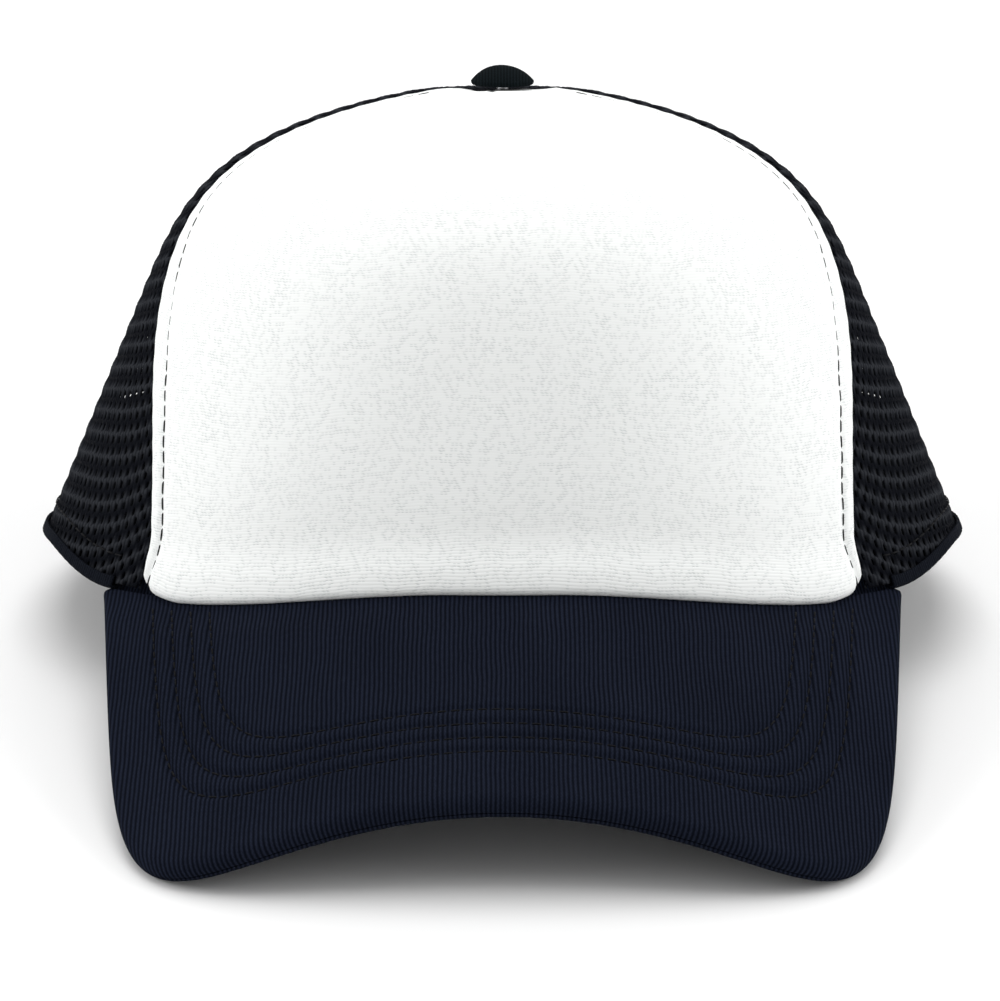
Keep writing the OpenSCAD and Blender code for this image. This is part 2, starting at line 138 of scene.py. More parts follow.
def crown(phi, t):
    """Crown's outer face: an oval of half axes half_w and half_y that shrinks as t goes from
    0 at the rim to 1 at the top, phi degrees round from the middle of the front. The button
    presses its middle in."""
    phi, t = np.broadcast_arrays(np.asarray(phi, float), np.asarray(t, float))
    a = np.radians(phi)
    z = rim_z(phi) * (1 - t) + CROWN_H * t - TOP_DIP * (1 - ease((half_w(t) - DIP_FROM) / DIP_RUN))
    return np.stack([half_w(t) * np.sin(a), -half_y(phi, t) * np.cos(a), z], -1)


def crown_out(phi, t):
    """Unit normal of the crown: the cross product of its two slopes, by small differences."""
    phi, t = np.broadcast_arrays(np.asarray(phi, float), np.asarray(t, float))
    h = np.minimum(0.004, 0.2 * (1 - t))
    n = np.cross(crown(phi + 1, t) - crown(phi - 1, t), crown(phi, t + h) - crown(phi, t - h))
    return unit(n)


def skin(phi, t, depth):
    """Crown face moved in along its normal by a depth in mm."""
    return crown(phi, t) - np.asarray(depth, float)[..., None] * crown_out(phi, t)


def turn_r(phi, t):
    """Millimetres per radian along a level line of the crown."""
    a = np.radians(phi)
    return np.hypot(half_w(t) * np.cos(a), half_y(phi, t) * np.sin(a))


def off(phi, t, mm):
    """Angle that lies some mm farther round on a level line."""
    return phi + np.degrees(mm / turn_r(phi, t))


def front_seam(t):
    """Angle of the front seam: it moves back with height, with a belly about its middle and a
    flare at the rim."""
    belly = BELLY * bump_at(t - BELLY_AT, BELLY_HALF) * (1 - ease((t - BELLY_END) / BELLY_FADE))
    flare = FLARE * (1 - ease(t / FLARE_TO))
    return SEAM_FROM + SEAM_RISE * t + SEAM_CURVE * t * t + belly + flare


def back_seam(t):
    """Angle of the seam between side and back mesh."""
    return BACK_SEAM_FROM + BACK_SEAM_RISE * t


def rise_at(t, phi=0.0):
    """Length of the crown's upright line at phi from the rim to t, summed over 600 steps."""
    steps = np.linspace(0, 0.9999, 600)
    line = crown(phi, steps)
    along = length_along(line)
    return np.interp(t, steps, along)


def linked(name, data):
    piece = bpy.data.objects.new(name, data)
    bpy.context.scene.collection.objects.link(piece)
    return piece


def mesh_piece(name, points, faces, uv, body="cap", slot=None, hides=(), finish=None):
    """A mesh from whole arrays: points in mm, faces of 3 or 4 corners, and one UV per point in
    mm of flat cloth. Doubles are merged, and then its faces are turned outwards."""
    mesh = bpy.data.meshes.new(name)
    faces = np.ascontiguousarray(faces, np.int32)
    mesh.vertices.add(len(points))
    mesh.vertices.foreach_set("co", laid(points).astype(np.float32).ravel())
    mesh.loops.add(faces.size)
    mesh.loops.foreach_set("vertex_index", faces.ravel())
    mesh.polygons.add(len(faces))
    mesh.polygons.foreach_set("loop_start", np.arange(0, faces.size, faces.shape[1], dtype=np.int32))
    mesh.update(calc_edges=True)
    layer = mesh.uv_layers.new(name="flat_cloth")
    layer.data.foreach_set("uv", np.asarray(uv, np.float32)[faces.ravel()].ravel())
    mesh.validate()
    shape = bmesh.new()
    shape.from_mesh(mesh)
    bmesh.ops.remove_doubles(shape, verts=shape.verts, dist=2e-7)
    bmesh.ops.recalc_face_normals(shape, faces=shape.faces)
    shape.to_mesh(mesh)
    shape.free()
    mesh.shade_smooth()
    piece = linked(name, mesh)
    if finish:
        mesh.materials.append(finish)
    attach(piece, body)
    if hides:
        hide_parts(*hides)
    return piece


def shell_arrays(outer, inner, uv, ends=True):
    """Closed sheet between two equal grids: the outer rows and then the inner rows backwards
    make one loop of rows, with a strip of faces across each open end."""
    n, m = outer.shape[:2]
    points = np.concatenate([outer, inner[::-1]]).reshape(-1, 3)
    r, c = np.meshgrid(np.arange(2 * n), np.arange(m - 1), indexing="ij")
    s = (r + 1) % (2 * n)
    quads = np.stack([r * m + c, s * m + c, s * m + c + 1, r * m + c + 1], -1).reshape(-1, 4)
    if ends:
        i = np.arange(n - 1)
        k = 2 * n - 1 - i
        strips = [np.stack([i * m, (i + 1) * m, (k - 1) * m, k * m], -1) + e for e in (0, m - 1)]
        quads = np.concatenate([quads, *strips])
    return points, quads, np.concatenate([uv, uv[::-1]]).reshape(-1, 2)


class Wire:
    """A number inside a node tree. Arithmetic on it, or any Math operation written in lower
    case as in x.multiply_add(2, 3), adds a node and gives its wire."""

    def __init__(self, socket):
        self.socket, self.tree = socket, socket.id_data

    def __getattr__(self, operation):
        return lambda *others: self.math(operation.upper(), self, *others)

    def math(self, operation, *values):
        return Wire(put(self.tree, "ShaderNodeMath", dict(enumerate(values)), operation=operation).outputs[0])

    def __add__(self, other):
        return self.math("ADD", self, other)

    def __sub__(self, other):
        return self.math("SUBTRACT", self, other)

    def __rsub__(self, other):
        return self.math("SUBTRACT", other, self)

    def __mul__(self, other):
        return self.math("MULTIPLY", self, other)

    def __truediv__(self, other):
        return self.math("DIVIDE", self, other)


def put(tree, kind, inputs=None, **settings):
    """One shader node: settings go to its properties, inputs to its sockets, linked or set."""
    node = tree.nodes.new(kind)
    for key, value in settings.items():
        setattr(node, key, value)
    for key, value in (inputs or {}).items():
        if isinstance(value, Wire):
            tree.links.new(value.socket, node.inputs[key])
        else:
            node.inputs[key].default_value = value
    return node


def noise(flat, scale, detail=2.0):
    """Noise on the flat coordinates, as a wire between 0 and 1."""
    given = {"Vector": flat, "Scale": scale, "Detail": detail}
    return Wire(put(flat.tree, "ShaderNodeTexNoise", given).outputs["Fac"])


def half_turns(x):
    """sin(pi x): one rounded ridge for each whole step of x, up and down by turns."""
    return (x * math.pi).sine()


def ridges(x):
    """(1 + cos(2 pi x)) / 2: a ridge at each whole x."""
    return (x * (2 * math.pi)).cosine().multiply_add(0.5, 0.5)


def pattern(*labels):
    """Makes a node group of the function's name. The function gets the flat coordinates as a
    vector and as x and y, and then one wire for each label, and gives Height and Shade."""

    def made(build):
        tree = bpy.data.node_groups.new(build.__name__, "ShaderNodeTree")
        tree.interface.new_socket(name="Flat", in_out="INPUT", socket_type="NodeSocketVector")
        for in_out, names in (("INPUT", labels), ("OUTPUT", ("Height", "Shade"))):
            for label in names:
                tree.interface.new_socket(name=label, in_out=in_out, socket_type="NodeSocketFloat")
        given = tree.nodes.new("NodeGroupInput").outputs
        out = tree.nodes.new("NodeGroupOutput").inputs
        flat = Wire(given["Flat"])
        part = put(tree, "ShaderNodeSeparateXYZ", {0: flat}).outputs
        ends = build(flat, Wire(part[0]), Wire(part[1]), *(Wire(given[label]) for label in labels))
        for label, end in zip(("Height", "Shade"), ends):
            tree.links.new(end.socket, out[label])
        return tree

    return made


@pattern("Row", "Dash")
def tricot_rows(flat, x, y, row_height, dash_length):
    """Knit seen as fine level rows: each row is a rounded ridge, and along it short dashes of
    random length lie deeper than the rest. Those dashes, in the grooves between rows, are
    painted darker as painted shade."""
    drift = (noise(flat, 0.05) - 0.5) * 2.5
    row = (y + drift) / row_height
    line = row.floor()
    ridge = half_turns(row.fract())
    along = x / dash_length + line * 0.37
    seed = Wire(put(flat.tree, "ShaderNodeCombineXYZ", {0: along.floor(), 1: line}).outputs[0])
    white = put(flat.tree, "ShaderNodeTexWhiteNoise", {"Vector": seed}, noise_dimensions="3D")
    dash = Wire(white.outputs["Value"]).greater_than(0.62) * half_turns(along.fract())
    mark = dash * (1.0 - ridge) * (noise(flat, 0.12, 3.0) * 1.7)
    return ridge - mark * 0.8, 1.0 - mark


def patterned(name, group_tree, values, light, dark, depth, source):
    """A material whose pattern lies on the source's coordinates: its Shade mixes the dark and
    light colours, and its Height drives a bump of the given depth in metres."""
    finish = bpy.data.materials.new(name)
    finish.use_nodes = True
    tree = finish.node_tree
    shader = tree.nodes["Principled BSDF"].inputs
    kind, output, settings = source
    group = put(tree, "ShaderNodeGroup", node_tree=group_tree)
    tree.links.new(put(tree, kind, **settings).outputs[output], group.inputs["Flat"])
    for key, value in values.items():
        group.inputs[key].default_value = value
    shade, height = Wire(group.outputs["Shade"]), Wire(group.outputs["Height"])
    mix = put(tree, "ShaderNodeMix", {0: shade, 6: (*dark, 1), 7: (*light, 1)}, data_type="RGBA")
    tree.links.new(mix.outputs[2], shader["Base Color"])
    bump = put(tree, "ShaderNodeBump", {"Height": height, "Distance": depth, "Strength": 1.0})
    tree.links.new(bump.outputs[0], shader["Normal"])
    return finish, shader, shade


def cloth(name, weave, values, light, dark, roughness, depth, sheen=0.0, gloss=0.08):
    """Cloth finish: a pattern on the flat cloth's UVs, whose Shade paints shade into the cloth's
    low parts by mixing towards the dark colour, and sheen for the fibres' fuzz.
    """
    flat_cloth = ("ShaderNodeUVMap", "UV", {"uv_map": "flat_cloth"})
    finish, shader, _ = patterned(name, weave, values, light, dark, depth, flat_cloth)
    shader["Roughness"].default_value = roughness
    shader["Specular IOR Level"].default_value = gloss
    shader["Sheen Weight"].default_value = sheen
    shader["Sheen Roughness"].default_value = 0.5
    return finish


def topstitch_in(t):
    """Distance in mm of the topstitching from the seam: more where the seam bellies out."""
    return TOPSTITCH_IN + 3.0 * bump_at(t - 0.55, 0.22) - 1.2 * (1 - ease(t / 0.1))


PANEL_ROLL = FOAM_T / 2
PANEL_BULGE = 0.9
CORNER_R, CORNER_UP = 7.0, 5.5
LIP_OUT, LIP_DOWN = 1.7, 1.5
SEAM_SINK = 0.6
edge_share = np.array(
    [0, 0.0015, 0.005, 0.01, 0.016, 0.023, 0.03, 0.036, 0.042, 0.048, 0.054, 0.062, 0.072, 0.084]
)
share = np.concatenate([edge_share, np.linspace(0.096, 1, 76)])
panel_cols = np.concatenate([share - 1, (1 - share)[::-1][1:]])
LOW_STEP, LOW_TO = 0.001, 0.09
low_rows = np.array([0, 1, 3, 6, 10, 15, 21, 28, 36, 45, 55, 66, 78, 90]) * LOW_STEP
panel_rows = np.concatenate([low_rows, LOW_TO + (1 - LOW_TO) * (np.arange(1, 111) / 110)])
panel_t = (T_TOP * (1 - (1 - panel_rows) ** SHOULDER_Q))[:, None]
corner_at = front_seam(0) * (1 - np.abs(panel_cols)) * math.radians(float(turn_r(40.0, 0.0)))
corner_in = np.maximum(0, 1 - corner_at / CORNER_R)
corner_up = CORNER_UP * (1 - np.sqrt(np.maximum(0, 1 - corner_in**2)))[None, :]
side_phi = off(front_seam(panel_t), panel_t, -SEAM_GAP)
panel_phi = side_phi * panel_cols[None, :]
panel_u = np.radians(panel_phi) * turn_r(panel_phi * 0.5, panel_t)
from_side = np.abs(np.radians(side_phi - np.abs(panel_phi))) * turn_r(panel_phi, panel_t)
from_rim = rise_at(panel_t) + 0 * panel_phi
from_top = rise_at(T_TOP) - from_rim
from_edge = np.minimum(np.minimum(from_side, from_rim), from_top)
roll_in = PANEL_ROLL - np.sqrt(np.maximum(0, PANEL_ROLL**2 - np.maximum(0, PANEL_ROLL - from_edge) ** 2))
soft = 0.22 * np.sin(panel_u / 17 + 1.3) * np.sin(from_rim / 23 + 0.4)
soft = (soft + 0.12 * np.sin(panel_u / 9 - from_rim / 13)) * ease(from_edge / 14)
pucker = 0.10 * np.sin(from_rim * 2 * math.pi / 5.2 + np.sign(panel_u)) * bump_at(from_side - 2.2, 1.8)
sunk = SEAM_SINK * bump_at(from_side - topstitch_in(panel_t), 0.75) * ease(from_top / 25)
tuck_x = -4.4
tuck = 1.1 * bump_at(panel_u - tuck_x * 1.3, 1.6) * (1 - ease((from_top - 3) / 5))
dart = 0.35 * bump_at(panel_u + 2.5, 0.7) * (1 - ease((from_top - 14) / 6))
bulge = PANEL_BULGE * bump_at(from_rim - 5.5, 4.2) * ease(from_side / 12)
lip_share = (1 - ease(from_rim / 8)) * ease(from_side / 14)
panel_depth = roll_in + soft + pucker + sunk + tuck + dart - bulge - LIP_OUT * lip_share
lip_drop = np.stack([0 * lip_share, 0 * lip_share, -LIP_DOWN * lip_share], -1)
lifted_t = panel_t + corner_up / RISE_LEN * (1 - ease(from_rim / 16))
panel_uv = np.stack([panel_u, from_rim], -1)
panel_arrays = shell_arrays(
    skin(panel_phi, lifted_t, panel_depth) + lip_drop,
    skin(panel_phi, lifted_t, FOAM_T - roll_in + 0.3 * soft - 0.4 * bulge) + lip_drop,
    panel_uv,
)
# dark is the colour of the painted shade in the knit's dashes
white_tricot = cloth(
    "white_tricot", tricot_rows, {"Row": 0.62, "Dash": 0.9},
    light=(0.90, 0.915, 0.905), dark=(0.60, 0.63, 0.63), roughness=0.9, depth=0.00003, sheen=0.05,
)
front_panel = mesh_piece(
    "front_panel_cloth", *panel_arrays, slot="front_foam", hides=["front_panel"], finish=white_tricot
)

# ----------------------------------------------------------- front topstitching
# One row of black thread down each side of the front panel, 4 mm inside the seam.
# The stitches pull the foam in, so each row lies in a shallow channel.


def stitch_arrays(line, out, pitch, thick, gap=0.12, sides=6, rings=6):
    """Stitches along a line of points: each is a short tube that leaves the cloth, lies on it
    and dives back, its lift falling with the sixth power towards both ends."""
    steps = length_along(line)
    count = max(1, int(round(steps[-1] / pitch)))
    f = np.linspace(0, 1, rings)
    at = (np.arange(count)[:, None] + gap / 2 + (1 - gap) * f[None, :]) * steps[-1] / count
    centre = np.stack([np.interp(at, steps, line[:, k]) for k in range(3)], -1)
    up = unit(np.stack([np.interp(at, steps, out[:, k]) for k in range(3)], -1))
    across = unit(np.cross(np.gradient(centre, axis=1), up))
    end = np.abs(2 * f - 1)
    radius = thick / 2 * np.sqrt(1 - 0.85 * end**6)
    centre = centre + up * (thick * (0.32 - 0.9 * end**6))[None, :, None]
    a = np.arange(sides) * 2 * math.pi / sides
    ring = np.cos(a)[:, None] * across[:, :, None, :] + np.sin(a)[:, None] * up[:, :, None, :]
    points = centre[:, :, None, :] + radius[None, :, None, None] * ring
    i, j, k = np.meshgrid(np.arange(count), np.arange(rings - 1), np.arange(sides), indexing="ij")
    base = (i * rings + j) * sides
    quads = np.stack([base + k, base + (k + 1) % sides, base + sides + (k + 1) % sides, base + sides + k], -1)
    n = np.arange(count)[:, None] * rings * sides
    caps = [n + np.array(q) + e for e in (0, (rings - 1) * sides) for q in ([0, 1, 2, 3], [0, 3, 4, 5])]
    uv = np.stack([at[:, :, None] + 0 * a, a * thick + 0 * at[:, :, None]], -1)
    return points.reshape(-1, 3), np.concatenate([quads.reshape(-1, 4), *caps]), uv.reshape(-1, 2)


def joined(parts):
    """Several sets of points, faces and UVs as one, with the faces' numbers moved along."""
    starts = np.cumsum([0] + [len(p[0]) for p in parts[:-1]])
    return (
        np.concatenate([p[0] for p in parts]),
        np.concatenate([p[1] + s for p, s in zip(parts, starts)]),
        np.concatenate([p[2] for p in parts]),
    )


def mirrored(parts, side):
    """Stitches with their x turned round for side -1."""
    return [(points * [side, 1, 1], faces, uv) for points, faces, uv in parts]


def level_stitches(phi, up, depth, side, pitch, thick):
    """Stitches along a level line of the crown, standing out of it or, with side -1, into it."""
    t = 0 * phi + up / RISE_LEN
    return stitch_arrays(skin(phi, t, 0 * phi + depth), side * crown_out(phi, t), pitch, thick)


@pattern("Lay")
def thread_twist(flat, x, y, lay):
    """Thread: slanting ridges of two plies, from a sine across the sum of length and turn. The
    grooves between the plies are painted darker, as painted shade.
    """
    ply = half_turns(x / lay + y * 1.1).absolute()
    return ply, ply.multiply_add(0.7, 0.3)


# dark is the colour of the painted shade between the thread's plies
black_thread = cloth(
    "black_thread", thread_twist, {"Lay": 0.55},
    light=(0.007, 0.007, 0.008), dark=(0.002, 0.002, 0.003), roughness=0.6, depth=0.00004,
)


def seam_line(side, inset, t, depth):
    """Points and normals on the crown at a distance in mm inside the front seam."""
    phi = off(front_seam(t), t, -np.minimum(inset, turn_r(front_seam(t), t) * 0.3)) * side
    return skin(phi, t, depth), crown_out(phi, t)


stitch_t = 0.009 + 0.970 * (1 - (1 - np.linspace(0, 1, 500)) ** 1.4)
for side, word in ((-1, "left"), (1, "right")):
    sink = SEAM_SINK * ease((rise_at(T_TOP) - rise_at(stitch_t)) / 25)
    wander = 0.12 * np.sin(stitch_t * 61 + side)
    line, out = seam_line(side, topstitch_in(stitch_t) + wander, stitch_t, sink - 0.02)
    mesh_piece(
        f"front_topstitch_{word}_thread", *stitch_arrays(line, out, 3.6, 0.38, gap=0.01),
        slot="thread", hides=[f"front_topstitch_{word}"], finish=black_thread,
    )

# ---------------------------------------------------------------- mesh panels
# Two side and two back panels of black warp-knitted mesh: staggered rows of upright
# slits between ridges, cut so that the rows run level and lift towards the front
# seam. Each panel is one perforated sheet, 1 mm thick, stretched over the crown.

MESH_D, MESH_T = 1.0, 1.0
HOLE_STEP, ROW_STEP, HEX_LIFT = 2.8, 2.7, 0.42
HOLE_HALF_W, HOLE_HALF_H = 0.30, 0.78
ARCH_HALF_W, ARCH_H, ARCH_EDGE = 46.0, 46.0, 0.4
ROW_LIFT = 0.0060
MESH_FOOT = 0.4 / RISE_LEN
MESH_LIFT = 1.5


def mesh_lift(phi, t):
    """How far the mesh stands out in mm: nothing at the front seam and the rim, full 4 mm
    behind the seam near the top, and nothing again beside the button."""
    behind = np.radians(np.maximum(0, phi - front_seam(t))) * turn_r(phi, t)
    return MESH_LIFT * ease((t - 0.45) / 0.4) * ease(behind / 4) * ease((half_w(t) - 8) / 14)


def level_length(phi_a, phi_b, t):
    """Length in mm along a level line between two angles, by five-point Gauss quadrature."""
    nodes, weights = np.polynomial.legendre.leggauss(5)
    mid, half = (phi_a + phi_b) / 2, (phi_b - phi_a) / 2
    return sum(w * turn_r(mid + half * x, t) for x, w in zip(nodes, weights)) * np.radians(half)


def phi_at(u, t, start):
    """Angle at a signed level length u from the start angle, by five Newton steps."""
    phi = off(start, t, u)
    for _ in range(5):
        phi = phi - np.degrees((level_length(start, phi, t) - u) / turn_r(phi, t))
    return phi


def arch_out(phi, t):
    """Moves points of the opening out to its edge: a circle once the angle is turned to a
    width at the rim and t to a height."""
    x = CROWN_HALF_W * np.sin(np.radians(180 - phi))
    y = ARCH_HALF_W / ARCH_H * RISE_LEN * t
    r = np.maximum(np.hypot(x, y), 1e-6)
    grow = np.where(phi > 90, np.maximum(1, (ARCH_HALF_W + ARCH_EDGE) / r), 1)
    x = np.minimum(x * grow, 0.999 * CROWN_HALF_W)
    moved = 180 - np.degrees(np.arcsin(x / CROWN_HALF_W))
    return np.where(grow > 1, moved, phi), np.where(grow > 1, y * grow * ARCH_H / ARCH_HALF_W / RISE_LEN, t)


def mesh_arrays(edge_a, edge_b, arch, lift_front):
    """A perforated panel between two seams. Its flat cloth is a staggered lattice of six-sided
    cells: on each the border ring of 12 points stands highest, a middle ring a little lower
    and a slit ring at mid thickness, above and below. A point outside the panel moves to its
    edge, where both faces meet."""
    table_t = np.linspace(0, T_TOP, 300)
    middle = (edge_a(table_t) + edge_b(table_t)) / 2
    line = skin(middle, table_t, np.full(300, MESH_D + MESH_T / 2))
    rise = length_along(line)
    half = level_length(middle, edge_b(table_t), table_t)
    wide = np.max(np.abs(half)) + HOLE_STEP
    rows = np.arange(-9, int(rise[-1] / ROW_STEP) + 3)
    cols = np.arange(-int(wide / HOLE_STEP) - 1, int(wide / HOLE_STEP) + 2)
    j, i = (a.ravel() for a in np.meshgrid(rows, cols, indexing="ij"))
    centre = np.stack([(i + 0.5 * (j % 2)) * HOLE_STEP, (j + 0.5) * ROW_STEP], -1)
    w, h = HOLE_STEP / 2, ROW_STEP / 2
    quarter = [(0, h + HEX_LIFT), (w / 2, h), (w, h - HEX_LIFT), (w, 0), (w, HEX_LIFT - h), (w / 2, -h)]
    border = np.array(quarter + [(-x, -y) for x, y in quarter])
    a = np.radians(90 - 30 * np.arange(12))
    slit = np.stack([HOLE_HALF_W * np.sign(np.cos(a)) * np.abs(np.cos(a)) ** 0.8,
                     HOLE_HALF_H * np.sign(np.sin(a)) * np.abs(np.sin(a)) ** 0.8], -1)
    between = slit + 0.5 * (border - slit)
    rings = [(border, 1.0), (between, 0.82), (slit, 0.0), (between, -0.82), (border, -1.0)]
    flat = np.stack([centre[:, None, :] + ring for ring, _ in rings], 1)
    stand = np.broadcast_to(np.array([s for _, s in rings])[None, :, None], flat.shape[:3])
    u, v = flat[..., 0], flat[..., 1]
    band = 1 + 0.32 * np.cos(np.pi * v / ROW_STEP)
    lifted = v + ROW_LIFT * (np.maximum(0, -u) ** 2 if lift_front else 0 * u)
    t = np.interp(lifted, rise, table_t, left=-1, right=2)
    t = np.where(t < 0, lifted / RISE_LEN, t)
    t_in = np.clip(t, MESH_FOOT, T_TOP)
    start = (edge_a(t_in) + edge_b(t_in)) / 2
    phi = phi_at(u, t_in, start)
    low, high = off(edge_a(t_in), t_in, SEAM_GAP), off(edge_b(t_in), t_in, -SEAM_GAP)
    inside = (t > MESH_FOOT) & (t < T_TOP) & (phi > low) & (phi < high)
    phi = np.clip(phi, low, high)
    if arch:
        phi_b, t_b = arch_out(phi, t_in)
        inside &= (np.abs(phi_b - phi) < 1e-9) & (np.abs(t_b - t_in) < 1e-9)
        phi, t_in = phi_b, np.clip(t_b, MESH_FOOT, T_TOP)
        low, high = off(edge_a(t_in), t_in, SEAM_GAP), off(edge_b(t_in), t_in, -SEAM_GAP)
        phi = np.clip(phi, low, high)
    keep = inside[:, 0].any(axis=1)
    phi, t_in, u, v = phi[keep], t_in[keep], u[keep], v[keep]
    height = np.where(inside, stand, 0)[keep] * (MESH_T / 2) * np.where(stand[keep] > 0, band[keep], 1)
    thread = 0.06 * np.cos(2 * np.pi * u / (HOLE_STEP / 2)) * (np.abs(stand[keep]) > 0.5)
    depth = MESH_D + MESH_T / 2 - mesh_lift(phi, t_in) - 0.8 * height - thread * np.sign(height)
    points = skin(phi, t_in, depth)
    count = keep.sum()
    n, r, k = np.meshgrid(np.arange(count), np.arange(4), np.arange(12), indexing="ij")
    p = (n * 5 + r) * 12
    quads = np.stack([p + k, p + (k + 1) % 12, p + 12 + (k + 1) % 12, p + 12 + k], -1).reshape(-1, 4)
    corners = points.reshape(-1, 3)
    _, index, back = np.unique(np.round(corners, 3), axis=0, return_index=True, return_inverse=True)
    quads = back.ravel()[quads]
    tris = np.concatenate([quads[:, [0, 1, 2]], quads[:, [0, 2, 3]]])
    corners = corners[index]
    flat_uv = np.stack([u, v], -1).reshape(-1, 2)[index]
    key = np.sort(tris, axis=1)
    tris, key = (a[(key[:, 0] < key[:, 1]) & (key[:, 1] < key[:, 2])] for a in (tris, key))
    _, back, uses = np.unique(key, axis=0, return_inverse=True, return_counts=True)
    tris = tris[uses[back.ravel()] == 1]
    area = np.trapz(2 * np.abs(half), rise) - (np.pi / 4 * ARCH_HALF_W * ARCH_H if arch else 0)
    return corners, tris, flat_uv, (2 * np.max(np.abs(half)), rise[-1], area)


@pattern("Ply", "Row")
def warp_mesh(flat, x, y, ply_width, row_height):
    """Warp knit: upright plies across each ridge, from a sine in the width, with every second
    ridge painted lighter and the rows between painted darker, from a slow cosine in the height,
    as painted highlight and painted shade, with painted shade in the grooves between plies too,
    and uneven from noise."""
    ply = half_turns(x / ply_width).absolute()
    grain = noise(flat, 1.6, 3.0)
    shade = ridges(y / row_height).multiply_add(0.92, 0.08) * ply.multiply_add(0.75, 0.25)
    return grain.multiply_add(0.5, ply), shade * grain.multiply_add(0.8, 0.6)


# light is the painted highlight on the ridges, dark the painted shade in the grooves between
black_mesh = cloth(
    "black_mesh", warp_mesh, {"Ply": 1.2, "Row": 2 * ROW_STEP},
    light=(0.024, 0.026, 0.031), dark=(0.0008, 0.0012, 0.0030), roughness=0.8, depth=0.00010, gloss=0.03,
)
back_middle = lambda t: 180 + 0 * t
for kind, edges, arch in (("side", (front_seam, back_seam), False), ("back", (back_seam, back_middle), True)):
    points, tris, flat_uv, (wide, tall, area) = mesh_arrays(*edges, arch, not arch)
    for sign, word in ((-1, "left"), (1, "right")):
        panel = mesh_piece(
            f"{kind}_mesh_{word}_net", points * [sign, 1, 1], tris, flat_uv,
            slot="mesh", hides=[f"{kind}_mesh_{word}"], finish=black_mesh,
        )
        wide / 1000
        tall / 1000
        area / 1e6

# ------------------------------------------------------------------ seam tapes
# Woven black tape, 13 mm wide, sewn over each panel seam on the inside with a row of
# stitches along both of its edges. It hides the cut edges of the foam and the mesh.

TAPE_W, TAPE_T, TAPE_GAP = 13.0, 0.8, 0.3
TAPE_TOP = 1.8
TAPE_D, FOAM_STEP = MESH_D + MESH_T + TAPE_GAP, FOAM_T + 0.2 - MESH_D - MESH_T
HEM_H = 9.0


@pattern("Warp", "Weft")
def plain_weave(flat, x, y, warp, weft):
    """Plain weave: warp and weft ridges take turns on a chequer of cells, with slow noise. The
    low parts of the weave are painted darker, as painted shade.
    """
    over = half_turns(x / warp) * half_turns(y / weft)
    height = over.absolute() + over * 0.35
    return height, height.multiply_add(0.6, 0.4) * noise(flat, 0.6, 3.0).multiply_add(0.8, 0.6)


# dark is the colour of the painted shade in the weave's low parts
black_tape = cloth(
    "black_tape", plain_weave, {"Warp": 0.55, "Weft": 0.7},
    light=(0.014, 0.015, 0.018), dark=(0.003, 0.0035, 0.004), roughness=0.75, depth=0.00008, sheen=0.02,
)
tape_t = 1 - TAPE_TOP * (1 - T_TOP)
tape_edge = np.array([-1, -0.985, -0.95, -0.85, -0.6, -0.3, -0.15, 0, 0.15, 0.3, 0.6, 0.85, 0.95, 0.985, 1])
tape_stitches = []
for name, line_of, sides in (
    ("seam_tape_front", front_seam, (-1, 1)),
    ("seam_tape_side", back_seam, (-1, 1)),
    ("seam_tape_back", back_middle, (1,)),
):
    foot = (ARCH_H + HEM_H + 1 if name == "seam_tape_back" else 12) / RISE_LEN
    t = (foot + (tape_t - foot) * (1 - (1 - np.linspace(0, 1, 90)) ** SHOULDER_Q))[:, None]
    seam = line_of(t)
    half = np.minimum(TAPE_W / 2, 0.27 * turn_r(seam, t))
    phi = off(seam, t, half * tape_edge[None, :])
    on_foam = (1 - ease((tape_edge * 6.5 + 1.2) / 1.6))[None, :] if line_of is front_seam else 0
    top = TAPE_D + FOAM_STEP * on_foam
    thin = TAPE_T / 2 * (1 - np.sqrt(np.maximum(0, 1 - np.abs(tape_edge) ** 12)))[None, :]
    rib = 0.08 * np.sin(2 * np.pi * rise_at(t) / 4)
    flat_uv = np.stack([half * tape_edge[None, :], rise_at(t) + 0 * phi], -1)
    faces = (skin(phi, t, top + low + rib) for low in (thin, TAPE_T - thin))
    points, quads, uv = shell_arrays(*faces, flat_uv)
    long = float(rise_at(tape_t) - rise_at(foot))
    edge_lines = []
    for e in (-0.78, 0.78):
        p = off(seam, t, half * e)[:, 0]
        d = TAPE_D + TAPE_T + (FOAM_STEP if line_of is front_seam and e < 0 else 0)
        edge_lines.append(stitch_arrays(skin(p, t[:, 0], d + 0 * p), -crown_out(p, t[:, 0]), 3.2, 0.4))
    for side in sides:
        word = "" if len(sides) == 1 else {-1: "_left", 1: "_right"}[side]
        tape = mesh_piece(
            f"{name}{word}_woven", points * [side, 1, 1], quads, uv,
            slot="tape", hides=[name + word], finish=black_tape,
        )
        tape_stitches += mirrored(edge_lines, side)
mesh_piece("seam_tape_thread", *joined(tape_stitches), slot="thread", finish=black_thread)

# ------------------------------------------------------- hem and arch binding
# A strip of black knitted cloth folded round the lower edge of the mesh, and another
# round the opening at the back. One row of stitches holds each near its upper edge.

HEM_FROM, HEM_CLOTH = 55.0, 0.7
HEM_D0, HEM_D1 = 0.1, MESH_D + MESH_T + 0.9
FOLD_DROP = 0.9
HEM_STITCH, HEM_LIP = 6.8, 2.0


